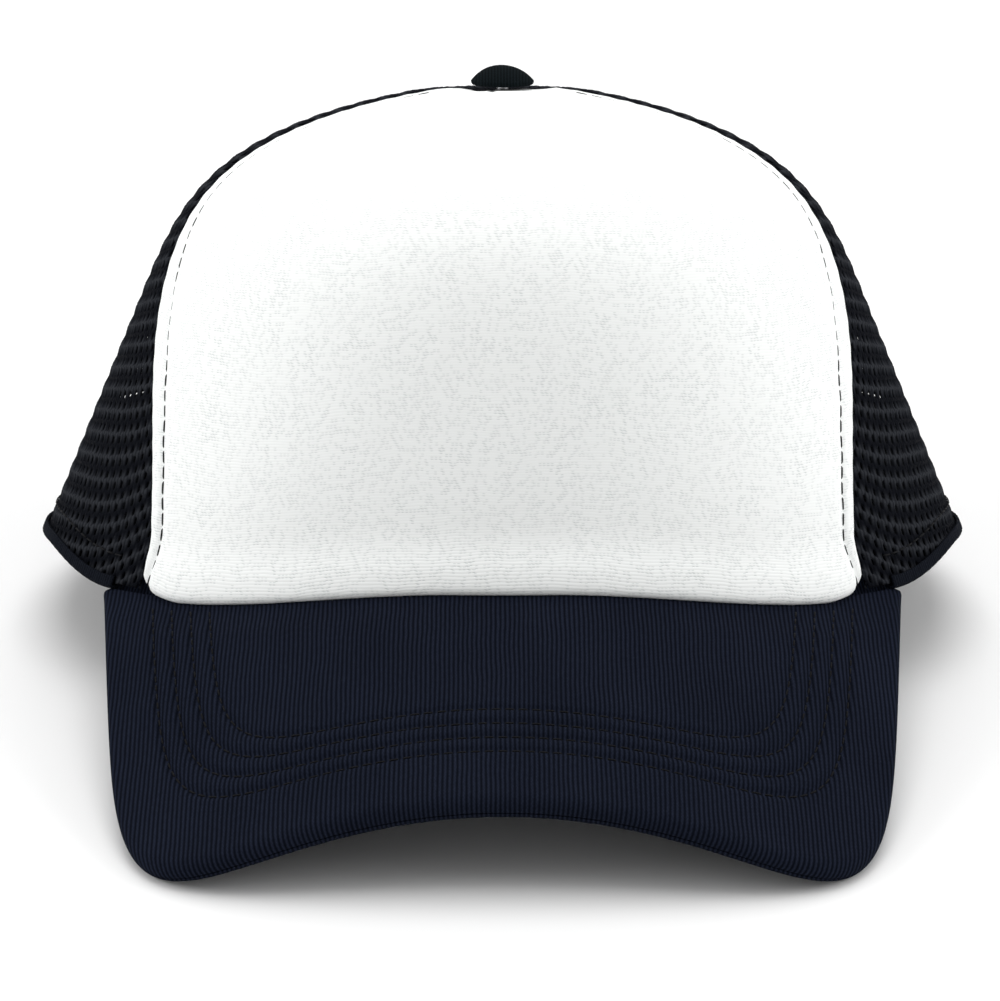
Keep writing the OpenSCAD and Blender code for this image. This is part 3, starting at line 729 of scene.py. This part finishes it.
@pattern("Rib", "Course", "Waver", "Cross")
def rib_knit(flat, x, y, rib_width, course_height, waver, cross):
    """Rib knit: rounded ribs across the width, crossed by finer courses that step half a
    course from rib to rib, wavering slowly. The hollows between ribs and courses are painted
    darker, as painted shade, and the tone is uneven from noise."""
    u = (x + (noise(flat, 0.07) - 0.5) * waver) / rib_width
    course = ridges(y / course_height + u.floor() * 0.5)
    height = ridges(u) * ((1.0 - cross) + course * cross)
    grain = noise(flat, 0.9, 4.0)
    uneven = grain.multiply_add(0.7, 0.65) * noise(flat, 0.045, 2.0).multiply_add(0.5, 0.75)
    return grain.multiply_add(0.35, height), height.multiply_add(0.85, 0.15) * uneven


def folded(h_out, h_in, d0, d1, inset):
    """Path of a fold as rows of height and depth: down the outside, round the edge as half an
    oval, and up the inside. An inset gives the cloth's other face."""
    a = np.radians(np.linspace(0, 180, 11))
    down, up = np.linspace(h_out, 0, 9)[:-1], np.linspace(0, h_in, 9)[1:]
    mid, half = (d0 + d1) / 2, (d1 - d0) / 2 - inset
    turn = np.stack([-(FOLD_DROP - inset) * np.sin(a), mid - half * np.cos(a)], -1)
    return np.concatenate([
        np.stack([down, 0 * down + d0 + inset], -1), turn, np.stack([up, 0 * up + d1 - inset], -1)
    ])


# dark is the colour of the painted shade between the ribs
black_binding = cloth(
    "black_binding", rib_knit, {"Rib": 0.8, "Course": 0.9, "Waver": 0.4, "Cross": 0.5},
    light=(0.010, 0.012, 0.018), dark=(0.0015, 0.002, 0.0035), roughness=0.9, depth=0.00010, gloss=0.03,
)


def fold_paths(h_out):
    """Both faces of a fold and the length along its outer face at each row."""
    outer = folded(h_out, HEM_H, HEM_D0, HEM_D1, 0)
    length = length_along(outer)
    return outer, folded(h_out, HEM_H, HEM_D0, HEM_D1, HEM_CLOTH), length


hem_outer, hem_inner, hem_len = fold_paths(HEM_LIP)
hem_to = float(180 - np.degrees(np.arcsin((ARCH_HALF_W + HEM_H + 0.6) / CROWN_HALF_W)))


def bound(path, place, along):
    """A folded strip carried along an edge: place() turns a row's height and depth, with the
    column's own angle, into crown points, and each stitch dimples the cloth a little."""
    up, depth = path[:, :1], path[:, 1:]
    dimple = 0.12 * bump_at(up - HEM_STITCH, 1.0) * np.sign(depth - (HEM_D0 + HEM_D1) / 2) * -1
    ripple = 0.05 * np.sin(2 * np.pi * along[None, :] / 3.1)
    return place(up, depth + dimple + ripple)


hem_phi = np.linspace(HEM_FROM, hem_to, 260)
hem_along = level_length(HEM_FROM + 0 * hem_phi, hem_phi, 0 * hem_phi)
on_hem = lambda up, depth: skin(hem_phi[None, :] + 0 * up, up / RISE_LEN + 0 * hem_phi[None, :], depth)
hem_uv = pairs(hem_along[None, :], hem_len[:, None])
hem_arrays = shell_arrays(bound(hem_outer, on_hem, hem_along), bound(hem_inner, on_hem, hem_along), hem_uv)
hem_rows = [
    level_stitches(hem_phi, HEM_STITCH, d, s, 3.1, 0.4)
    for d, s in ((MESH_D - 0.05, 1), (HEM_D1 - 0.12, -1))
]
binding_stitches = []
for side, word in ((-1, "left"), (1, "right")):
    hem = mesh_piece(
        f"hem_{word}_binding", hem_arrays[0] * [side, 1, 1], *hem_arrays[1:],
        slot="binding", hides=[f"hem_{word}"], finish=black_binding,
    )
    hem_along[-1] / 1000
    binding_stitches += mirrored(hem_rows, side)

arch_outer, arch_inner, fold_len = fold_paths(HEM_H)
arch_q = np.linspace(0, 180, 220)
arch_along = np.radians(arch_q) * (ARCH_HALF_W + HEM_H / 2)


def on_arch(up, depth, q=None):
    """Crown points at a distance from the opening's edge, by the angle round the opening."""
    q = arch_q[None, :] if q is None else q
    a = np.radians(q)
    phi = 180 - np.degrees(np.arcsin(np.clip((ARCH_HALF_W + up) * np.cos(a) / CROWN_HALF_W, -1, 1)))
    t = ((ARCH_H + up) * np.sin(a) + 0.2) / RISE_LEN
    return skin(phi, t, depth + 0 * phi), crown_out(phi, t)


arch_uv = pairs(arch_along[None, :], fold_len[:, None])
arch_faces = (bound(path, lambda u, d: on_arch(u, d)[0], arch_along) for path in (arch_outer, arch_inner))
arch_arrays = shell_arrays(*arch_faces, arch_uv)
arch_binding = mesh_piece(
    "arch_binding_cloth", *arch_arrays, slot="binding", hides=["arch_binding"], finish=black_binding
)
for d, s in ((HEM_D0 + 0.12, 1), (HEM_D1 - 0.12, -1)):
    line, out = on_arch(HEM_STITCH, d, np.linspace(3, 177, 300))
    binding_stitches.append(stitch_arrays(line, s * out, 3.1, 0.4))
mesh_piece("binding_thread", *joined(binding_stitches), slot="thread", finish=black_thread)

# ------------------------------------------------------------------ sweatband
# A black woven cotton facing folded round a thin soft core, sewn inside the rim from
# one end of the back opening to the other. Stitching near its top holds the core.

BAND_D, BAND_H, BAND_CLOTH, BAND_CORE = 4.6, 33.0, 0.5, 1.4
BAND_IN = BAND_D + 2 * BAND_CLOTH + BAND_CORE + 0.4
BAND_ROWS = (4.5, 29.5)
band_to = float(180 - np.degrees(np.arcsin((ARCH_HALF_W + 5) / CROWN_HALF_W)))
band_end = np.array([0, 0.15, 0.5])
band_phi = np.concatenate(
    [band_end - band_to, np.linspace(1 - band_to, band_to - 1, 300), band_to - band_end[::-1]]
)
band_up = 1 + (BAND_H - 1) * (1 - np.cos(np.linspace(0, math.pi, 34))) / 2
band_along = np.sign(band_phi) * level_length(0 * band_phi, np.abs(band_phi), 0 * band_phi)
from_band_end = (np.max(band_along) - np.abs(band_along))[None, :]
from_band_edge = np.minimum(np.minimum(band_up - 1, BAND_H - band_up)[:, None], from_band_end)
band_half = (BAND_IN - BAND_D) / 2
plump = band_half * np.sqrt(np.clip(1 - (1 - np.minimum(1, from_band_edge / 2.2)) ** 2, 0, 1))
channel = 0.45 * sum(bump_at(band_up - up, 0.9) for up in BAND_ROWS)[:, None] * ease(from_band_edge / 3)
crease = 0.10 * np.sin(band_along / 6.3)[None, :] * np.sin(band_up / 9)[:, None] * ease(from_band_edge / 6)
band_mid = (BAND_D + BAND_IN) / 2
band_t = band_up[:, None] / RISE_LEN + 0 * band_phi[None, :]
band_grid = band_phi[None, :] + 0 * band_t
band_arrays = shell_arrays(
    skin(band_grid, band_t, band_mid - plump + 0.5 * channel),
    skin(band_grid, band_t, band_mid + plump - channel + crease),
    pairs(band_along[None, :], band_up[:, None]),
)
# dark is the colour of the painted shade in the weave's low parts
black_cotton = cloth(
    "black_cotton", plain_weave, {"Warp": 0.5, "Weft": 0.45},
    light=(0.018, 0.020, 0.025), dark=(0.005, 0.006, 0.008), roughness=0.85, depth=0.00006, sheen=0.03,
)
sweatband = mesh_piece(
    "sweatband_cotton", *band_arrays, slot="sweatband", hides=["sweatband_facing"], finish=black_cotton
)
inner_line = band_phi[4:-4]
band_rows = [level_stitches(inner_line, up, BAND_IN - 0.45, -1, 3.0, 0.42) for up in BAND_ROWS]
mesh_piece("sweatband_thread", *joined(band_rows), slot="thread", finish=black_thread)


@pattern("Fine", "Broad")
def fine_grain(flat, x, y, fine_scale, broad_scale):
    """Fine grain for foam, board and moulded plastic: noise in two sizes, the small one for
    height and their product for shade."""
    fine, broad = noise(flat, fine_scale, 3.0), noise(flat, broad_scale, 2.0)
    return fine, fine.multiply_add(0.5, 0.5) * broad.multiply_add(0.6, 0.6)


def grained(name, fine, broad, light, dark, roughness, depth, metallic=0.0, specular=0.4):
    """Solid finish: fine grain on the object's own coordinates, which also makes the roughness
    uneven by a tenth."""
    scales = {"Fine": fine, "Broad": broad}
    own = ("ShaderNodeTexCoord", "Object", {})
    finish, shader, shade = patterned(name, fine_grain, scales, light, dark, depth, own)
    shade.tree.links.new(shade.multiply_add(0.2, roughness - 0.1).socket, shader["Roughness"])
    shader["Metallic"].default_value = metallic
    shader["Specular IOR Level"].default_value = specular
    return finish


def refinish(node, finish):
    """Gives a CAD piece that stays in the picture another finish."""
    for place in frame["nodes"][node].material_slots:
        place.material = finish


refinish("sweatband_foam", grained(
    "soft_core_foam", 1800.0, 90.0, (0.80, 0.80, 0.78), (0.55, 0.55, 0.53), 0.9, 0.0002
))

# ---------------------------------------------------------------- inner label
# A plain white woven label, sewn flat to the inside of the front panel. It carries no
# text. Its edges are folded under, so they are rounded and a little raised.

LABEL_HALF, LABEL_FROM, LABEL_TO, LABEL_T = 11.0, 40.0, 64.0, 0.5
label_x = np.linspace(-1, 1, 41)
label_y = np.linspace(-1, 1, 45)
label_u = label_x[None, :] * LABEL_HALF
label_v = (LABEL_FROM + LABEL_TO) / 2 + label_y[:, None] * (LABEL_TO - LABEL_FROM) / 2
label_round = np.sqrt((1 - np.abs(label_x[None, :]) ** 16) * (1 - np.abs(label_y[:, None]) ** 16))
label_top = FOAM_T + 0.3
label_phi = label_u + 0 * label_v
label_t = label_v / RISE_LEN + 0 * label_u
label_arrays = shell_arrays(
    skin(label_phi, label_t, label_top + LABEL_T / 2 * (1 - label_round)),
    skin(label_phi, label_t, label_top + LABEL_T / 2 * (1 + label_round)),
    pairs(label_u, label_v),
)
# dark is the colour of the painted shade in the weave's low parts
white_label = cloth(
    "white_label", plain_weave, {"Warp": 0.35, "Weft": 0.3},
    light=(0.82, 0.82, 0.80), dark=(0.62, 0.62, 0.60), roughness=0.6, depth=0.00004, sheen=0.1,
)
inner_label = mesh_piece(
    "inner_label_woven", *label_arrays, slot="label", hides=["inner_label"], finish=white_label
)
label_w = float(np.radians(2 * LABEL_HALF) * turn_r(0.0, 0.46))

# --------------------------------------------------------------------- button
# A metal cap covered with black knitted cloth, riveted through the top of the crown. The
# cloth is gathered under its lip. A zinc-plated washer holds the rivet on the inside.

BUTTON_R, BUTTON_H, BUTTON_LIP, BUTTON_FOOT = 7.5, 4.7, 1.0, 0.02
ball_r = (BUTTON_R**2 + (BUTTON_H - BUTTON_LIP) ** 2) / (2 * (BUTTON_H - BUTTON_LIP))
cap_angle = math.asin(BUTTON_R / ball_r)
turn = np.linspace(0, 2 * math.pi, 97)
over = np.linspace(0, cap_angle, 26)
lip = np.radians(np.linspace(12, 90, 7))
profile_r = np.concatenate([ball_r * np.sin(over), BUTTON_R - 0.81 * (1 - np.cos(lip)), [5.5, 3.5, 1.6, 0]])
profile_z = np.concatenate(
    [BUTTON_H - ball_r * (1 - np.cos(over)), BUTTON_LIP * (1 - np.sin(lip)), np.full(4, BUTTON_FOOT)]
)
near_lip = bump_at(profile_r - BUTTON_R, 1.5)[:, None]
gather = near_lip * (0.10 * np.cos(16 * turn) + 0.06 * np.cos(9 * turn + 1))[None, :]
r = np.maximum(0, profile_r[:, None] - np.abs(gather))
lean = 0.35 * (profile_z / BUTTON_H)[:, None] ** 2
button_z = CROWN_H - TOP_DIP + 0.3 + profile_z[:, None] + 0 * r
button_grid = np.stack([r * np.cos(turn)[None, :] - lean, r * np.sin(turn)[None, :], button_z], -1)
m = button_grid.shape[1]
i, j = np.meshgrid(np.arange(len(profile_r) - 1), np.arange(m - 1), indexing="ij")
button_quads = np.stack([i * m + j, (i + 1) * m + j, (i + 1) * m + j + 1, i * m + j + 1], -1).reshape(-1, 4)
button_uv = np.stack([button_grid[..., 0] * 1.1, button_grid[..., 1] * 1.1], -1)
# dark is the colour of the painted shade between the ribs
black_button = cloth(
    "black_button", rib_knit, {"Rib": 0.8, "Course": 0.8, "Waver": 0.3, "Cross": 0.6},
    light=(0.007, 0.0105, 0.0125), dark=(0.0015, 0.0025, 0.003), roughness=0.9, depth=0.00006, gloss=0.03,
)
button = mesh_piece(
    "button_cloth", button_grid.reshape(-1, 3), button_quads, button_uv.reshape(-1, 2),
    slot="button_cloth", hides=["button_cover"], finish=black_button,
)
zinc = grained(
    "zinc_plated", 900.0, 120.0, (0.72, 0.72, 0.74), (0.42, 0.42, 0.45), 0.36, 0.00003, metallic=1.0
)
refinish("button_rivet", zinc)
refinish("button_washer", zinc)

# ----------------------------------------------------------------------- brim
# A stiff white board between two covers of black rib-knit cloth backed with thin foam.
# The covers meet round the edge, and four rows of stitches through all three layers
# quilt the brim. Their seam allowance is turned up inside the front of the crown.

BRIM_REACH, BRIM_SLOPE, BRIM_END = 95.8, math.radians(27.9), 56.0
ARCH_ROOT, ARCH_GAIN, ARCH_FROM_Y = 0.00237, 0.00002, -62.0
BRIM_T, ROOT_T, ROOT_RUN, ROOT_IN, ROOT_DROP = 5.8, 3.8, 12.0, 2.0, 3.1
OUTLINE_N, OUTLINE_TAPER, OUTLINE_EXTRA = 7.0, 0.113, 0.36
BOARD_ROOM = 1.1
STITCH_EDGE, STITCH_PITCH, STITCH_ROWS = 11.4, 4.2, 4
QUILT_SINK, QUILT_SWELL = 0.62, 0.28
FRONT_GAIN, FRONT_EXTRA, FRONT_FROM = 0.937, 3.97, 11
ALLOWANCE_W, ALLOWANCE_D = 11.0, (3.75, 4.25)
brim_rear_y = -CROWN_HALF_L * math.cos(math.radians(BRIM_END))
brim_half_w = CROWN_HALF_W * math.sin(math.radians(BRIM_END)) + OUTLINE_EXTRA


def brim_plane(x, y):
    """Brim's middle away from the crown: a slope forward, arched with the square of x."""
    arch = x * x * (ARCH_ROOT + ARCH_GAIN * (ARCH_FROM_Y - y))
    return RIM_FRONT + math.tan(BRIM_SLOPE) * (y + CROWN_HALF_L) - arch - BRIM_T / 2


def brim_q(x, y):
    """Distance outside the rim's oval, as a share of its half axes."""
    return np.hypot(x / CROWN_HALF_W, y / CROWN_HALF_L) - 1


def brim_z(x, y):
    """Middle of the brim: a slope with an arch, bent up or down near the crown so that its root
    follows the rim, by a share that fades with the square of the distance."""
    phi = np.degrees(np.arctan2(x / CROWN_HALF_W, -y / CROWN_HALF_L))
    a = np.radians(phi)
    root = rim_z(phi) - ROOT_DROP - 0.6 * (phi / BRIM_END) ** 2
    gap = root - brim_plane(CROWN_HALF_W * np.sin(a), -CROWN_HALF_L * np.cos(a))
    return brim_plane(x, y) + gap * np.maximum(0, 1 - np.maximum(-0.1, brim_q(x, y)) / 0.5) ** 2


def brim_out(x, y):
    """Unit normal of the brim's middle, by differences over 1 mm."""
    across = brim_z(x - 0.5, y) - brim_z(x + 0.5, y)
    return unit(np.stack([across, brim_z(x, y - 0.5) - brim_z(x, y + 0.5), 1 + 0 * x], -1))


def brim_at(x, y, h):
    """Points h mm above the brim's middle, along its normal."""
    return np.stack([x, y, brim_z(x, y)], -1) + np.asarray(h)[..., None] * brim_out(x, y)


def brim_full(x, y):
    """Thickness of the brim in mm, less at its root."""
    return ROOT_T + (BRIM_T - ROOT_T) * ease(brim_q(x, y) * 90 / ROOT_RUN)


def front_inset(inset):
    """Inset at the front of a line inside the edge, from its inset at the sides: the lines
    stand 4 mm farther in there."""
    return FRONT_GAIN * inset + FRONT_EXTRA * ease(inset / FRONT_FROM)


def outline(p, inset):
    """Brim's edge, or a line inside it: a superellipse whose width narrows with y, by a place
    p from -1 at the left rear end to 1 at the right."""
    a, b = np.abs(p) ** (OUTLINE_N / 2), (1 - np.abs(p)) ** (OUTLINE_N / 2)
    q = np.radians(90 * a / (a + b))
    y = -(BRIM_REACH - front_inset(inset)) * np.cos(q) ** (2 / OUTLINE_N)
    w = brim_half_w - inset + OUTLINE_TAPER * y
    return np.sign(p) * w * np.sin(q) ** (2 / OUTLINE_N), y + brim_rear_y


def inset_of(x, y):
    """Distance inside the edge at which the outline's family of lines passes through a point,
    by 40 halvings."""
    low, high = np.full(x.shape, -3.0), np.full(x.shape, 80.0)
    y1 = np.minimum(0, y - brim_rear_y)
    for _ in range(40):
        mid = (low + high) / 2
        w = np.maximum(0.5, brim_half_w - mid + OUTLINE_TAPER * y1)
        reach = np.maximum(0.5, BRIM_REACH - front_inset(mid))
        beyond = np.abs(x / w) ** OUTLINE_N + np.abs(y1 / reach) ** OUTLINE_N > 1
        low, high = np.where(beyond, low, mid), np.where(beyond, mid, high)
    return (low + high) / 2


def dense(f):
    """Places across the brim from 0..1 to -1..1, closer together at the two front corners."""
    p = 2 * f - 1
    return p + 0.45 * np.sin(2 * np.pi * p) / (2 * np.pi)


def quilt(x, y):
    """How far the stitching pulls the cover in: a channel at each row, a swell between rows
    and beside the outer one, and faint waves across the rest."""
    inset = inset_of(x, y)
    rows = STITCH_EDGE + STITCH_PITCH * np.arange(STITCH_ROWS)
    sink = sum(bump_at(inset - row, 0.62) for row in rows) * QUILT_SINK
    between = (inset > rows[0]) & (inset < rows[-1])
    swell = QUILT_SWELL * np.where(between, np.sin(np.pi * (inset - rows[0]) / STITCH_PITCH) ** 2, 0)
    swell = swell + 0.45 * QUILT_SWELL * (bump_at(inset - 8, 4) + bump_at(inset - rows[-1] - 4, 3))
    wave = 0.12 * np.sin(x / 11 + y / 17) * np.sin(y / 9 + 1)
    return (sink - swell + 0.5 * wave) * ease(brim_q(x, y) * 8)


def cover_arrays(side, cols=240, span=112, roll=9):
    """A cover: columns run from the edge to the root of the brim. Its outer face stands half
    the thickness from the middle and rounds off to it at the edge as a quarter circle, and
    its inner face leaves room for the board. The UV is the cover laid out flat."""
    p = dense(np.linspace(0, 1, cols))[None, :]
    a = np.radians(p * BRIM_END)
    rx, ry = (CROWN_HALF_W - ROOT_IN) * np.sin(a), -(CROWN_HALF_L - ROOT_IN) * np.cos(a)
    angle = np.concatenate([np.zeros(span), np.radians(np.linspace(0, 90, roll + 1)[1:])])[:, None]
    down = np.concatenate([np.linspace(0, 1, span), np.ones(roll)])[:, None]

    def face(inset, outer):
        ox, oy = outline(p, inset)
        run = np.hypot(ox - rx, oy - ry)
        full = brim_full(ox, oy) / 2
        corner = np.minimum(full, 0.45 * run)
        e = np.where(angle > 0, corner * (1 - np.sin(angle)), run + (corner - run) * down)
        x, y = ox + (rx - ox) * e / run, oy + (ry - oy) * e / run
        if not outer:
            return brim_at(x, y, side * BOARD_ROOM + 0 * x), None
        h = np.maximum(0.1, (brim_full(x, y) / 2) * np.cos(angle)) - quilt(x, y) * np.cos(angle)
        unrolled = (e - np.where(angle > 0, full * angle - corner * np.sin(angle), 0)) / run
        flat = np.stack([ox + (rx - ox) * unrolled, oy + (ry - oy) * unrolled], -1)
        return brim_at(x, y, side * h), flat

    outer, flat = face(0.0, True)
    return shell_arrays(outer, face(1.8, False)[0], flat)


# dark is the colour of the painted shade between the ribs
brim_cloth = cloth(
    "brim_rib_knit", rib_knit, {"Rib": 1.0, "Course": 0.9, "Waver": 0.9, "Cross": 0.28},
    light=(0.0125, 0.0160, 0.0290), dark=(0.0006, 0.0010, 0.0026), roughness=0.9, depth=0.00018, gloss=0.02,
)
for side, word in ((1, "top"), (-1, "under")):
    cover = mesh_piece(
        f"brim_{word}_cloth", *cover_arrays(side),
        slot="brim_cloth", hides=[f"brim_{word}_cover"], finish=brim_cloth,
    )
root_phi = np.linspace(-BRIM_END - 1, BRIM_END + 1, 200)[None, :]
root_up = np.linspace(-1.4, ALLOWANCE_W - 1.4, 14)[:, None]
root_along = np.radians(root_phi) * turn_r(0.6 * root_phi, 0)
root_wave = 0.1 * np.sin(root_along / 3.7)
root_faces = (skin(root_phi, root_up / RISE_LEN, d + root_wave + 0 * root_up) for d in ALLOWANCE_D)
root_arrays = shell_arrays(*root_faces, pairs(root_along, root_up))
root_allowance = mesh_piece("brim_seam_allowance", *root_arrays, slot="brim_cloth", finish=brim_cloth)
root_long = 2 * float(level_length(0 * root_phi[0, -1:], root_phi[0, -1:], np.zeros(1))[0])
refinish("brim_board", grained(
    "brim_board_plastic", 1500.0, 40.0, (0.82, 0.83, 0.83), (0.68, 0.69, 0.69), 0.5, 0.00005
))
brim_threads = []
for row in range(STITCH_ROWS):
    x, y = outline(dense(np.linspace(0.003, 0.997, 900)), STITCH_EDGE + row * STITCH_PITCH)
    seen = brim_q(x, y) > 0.02
    x, y = x[seen], y[seen]
    for side in (1, -1):
        line = brim_at(x, y, side * (brim_full(x, y) / 2 - quilt(x, y) + 0.02))
        brim_threads.append(stitch_arrays(line, side * brim_out(x, y), 2.9, 0.42, gap=0.10))
mesh_piece(
    "brim_stitches", *joined(brim_threads), slot="thread", hides=["brim_stitching"], finish=black_thread
)

# ---------------------------------------------------------------- snap straps
# Two moulded black plastic straps across the back opening: one has pegs and the other
# has holes. Each is sewn by a thin tab under the hem; the tab sits on the cap's body and
# the strap on a body of its own.

strap_plastic = grained(
    "strap_plastic", 3200.0, 70.0, (0.013, 0.013, 0.014), (0.006, 0.006, 0.007), 0.5, 0.00003, specular=0.3
)


def moulded(node, body, soften):
    """A merged copy of a CAD piece whose sharp edges are rounded, as a moulded part's are."""
    mesh = frame["nodes"][node].data.copy()
    shape = bmesh.new()
    shape.from_mesh(mesh)
    bmesh.ops.remove_doubles(shape, verts=shape.verts, dist=2e-6)
    bmesh.ops.dissolve_limit(shape, angle_limit=0.02, verts=shape.verts, edges=shape.edges)
    shape.to_mesh(mesh)
    shape.free()
    piece = linked(node + "_moulded", mesh)
    bevel = piece.modifiers.new("soft_edges", "BEVEL")
    bevel.width, bevel.segments, bevel.limit_method, bevel.angle_limit = soften, 3, "ANGLE", math.radians(40)
    mesh.materials.clear()
    mesh.materials.append(strap_plastic)
    mesh.shade_smooth()
    mesh.set_sharp_from_angle(angle=math.radians(40))
    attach(piece, body)
    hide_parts(node)
    return piece


STRAP_SOFT, TAB_SOFT = 0.00022, 0.00015
for strap in ("hole_strap", "peg_strap"):
    moulded(strap, strap, STRAP_SOFT)
for strap in ("hole_strap", "peg_strap"):
    moulded(f"{strap}_tab", "cap", TAB_SOFT)

# --------------------------------------------------------------------- studio
# White table and soft light from all round, with wide lamps overhead, behind and at both
# sides, so that the cap's shadow falls under the brim. The camera stands in front, low.

CAMERA_DOWN, CAMERA_FAR, CAMERA_AIM = math.radians(11), 1000.0, 9.5
CAMERA_LENS, CAMERA_SIDE = 149.25, -0.6
floor_mesh = bpy.data.meshes.new("floor")
floor_mesh.from_pydata([(-6, -6, 0), (6, -6, 0), (6, 6, 0), (-6, 6, 0)], [], [(0, 1, 2, 3)])
floor = linked("floor", floor_mesh)
paper = bpy.data.materials.new("white_table")
paper.use_nodes = True
paper_shader = paper.node_tree.nodes["Principled BSDF"].inputs
paper_shader["Base Color"].default_value = (0.85, 0.85, 0.85, 1)
paper_shader["Roughness"].default_value = 0.9
floor_mesh.materials.append(paper)

world = bpy.data.worlds.new("studio")
world.use_nodes = True
sky = world.node_tree.nodes["Background"].inputs
sky["Color"].default_value = (1, 1, 1, 1)
sky["Strength"].default_value = 0.45
bpy.context.scene.world = world


def lamp(name, place, aim, size, power):
    """A square soft light at a place in metres, turned to its aim."""
    data = bpy.data.lights.new(name, "AREA")
    data.size, data.energy = size, power
    light = linked(name, data)
    light.location = place
    light.rotation_euler = (Vector(aim) - Vector(place)).to_track_quat("-Z", "Y").to_euler()


lamp("overhead", (0, 0.15, 1.5), (0, 0, 0), 1.2, 11)
lamp("behind", (0, 1.1, 1.2), (0, 0, 0), 1.0, 6)
for side, word in ((-1, "left"), (1, "right")):
    lamp(word, (1.4 * side, -0.1, 0.7), (0, 0, 0.05), 1.0, 11.5)

camera_data = bpy.data.cameras.new("camera")
camera_data.lens, camera_data.sensor_width = CAMERA_LENS, 36
camera = linked("camera", camera_data)
aim = laid([CAMERA_SIDE, 0, CAMERA_AIM])
back, up = CAMERA_FAR * math.cos(CAMERA_DOWN), CAMERA_FAR * math.sin(CAMERA_DOWN)
eye = laid([CAMERA_SIDE, -back, CAMERA_AIM + up])
camera.location = eye
camera.rotation_euler = Vector(aim - eye).to_track_quat("-Z", "Y").to_euler()
bpy.context.scene.camera = camera
bpy.context.scene.view_settings.view_transform = "Standard"
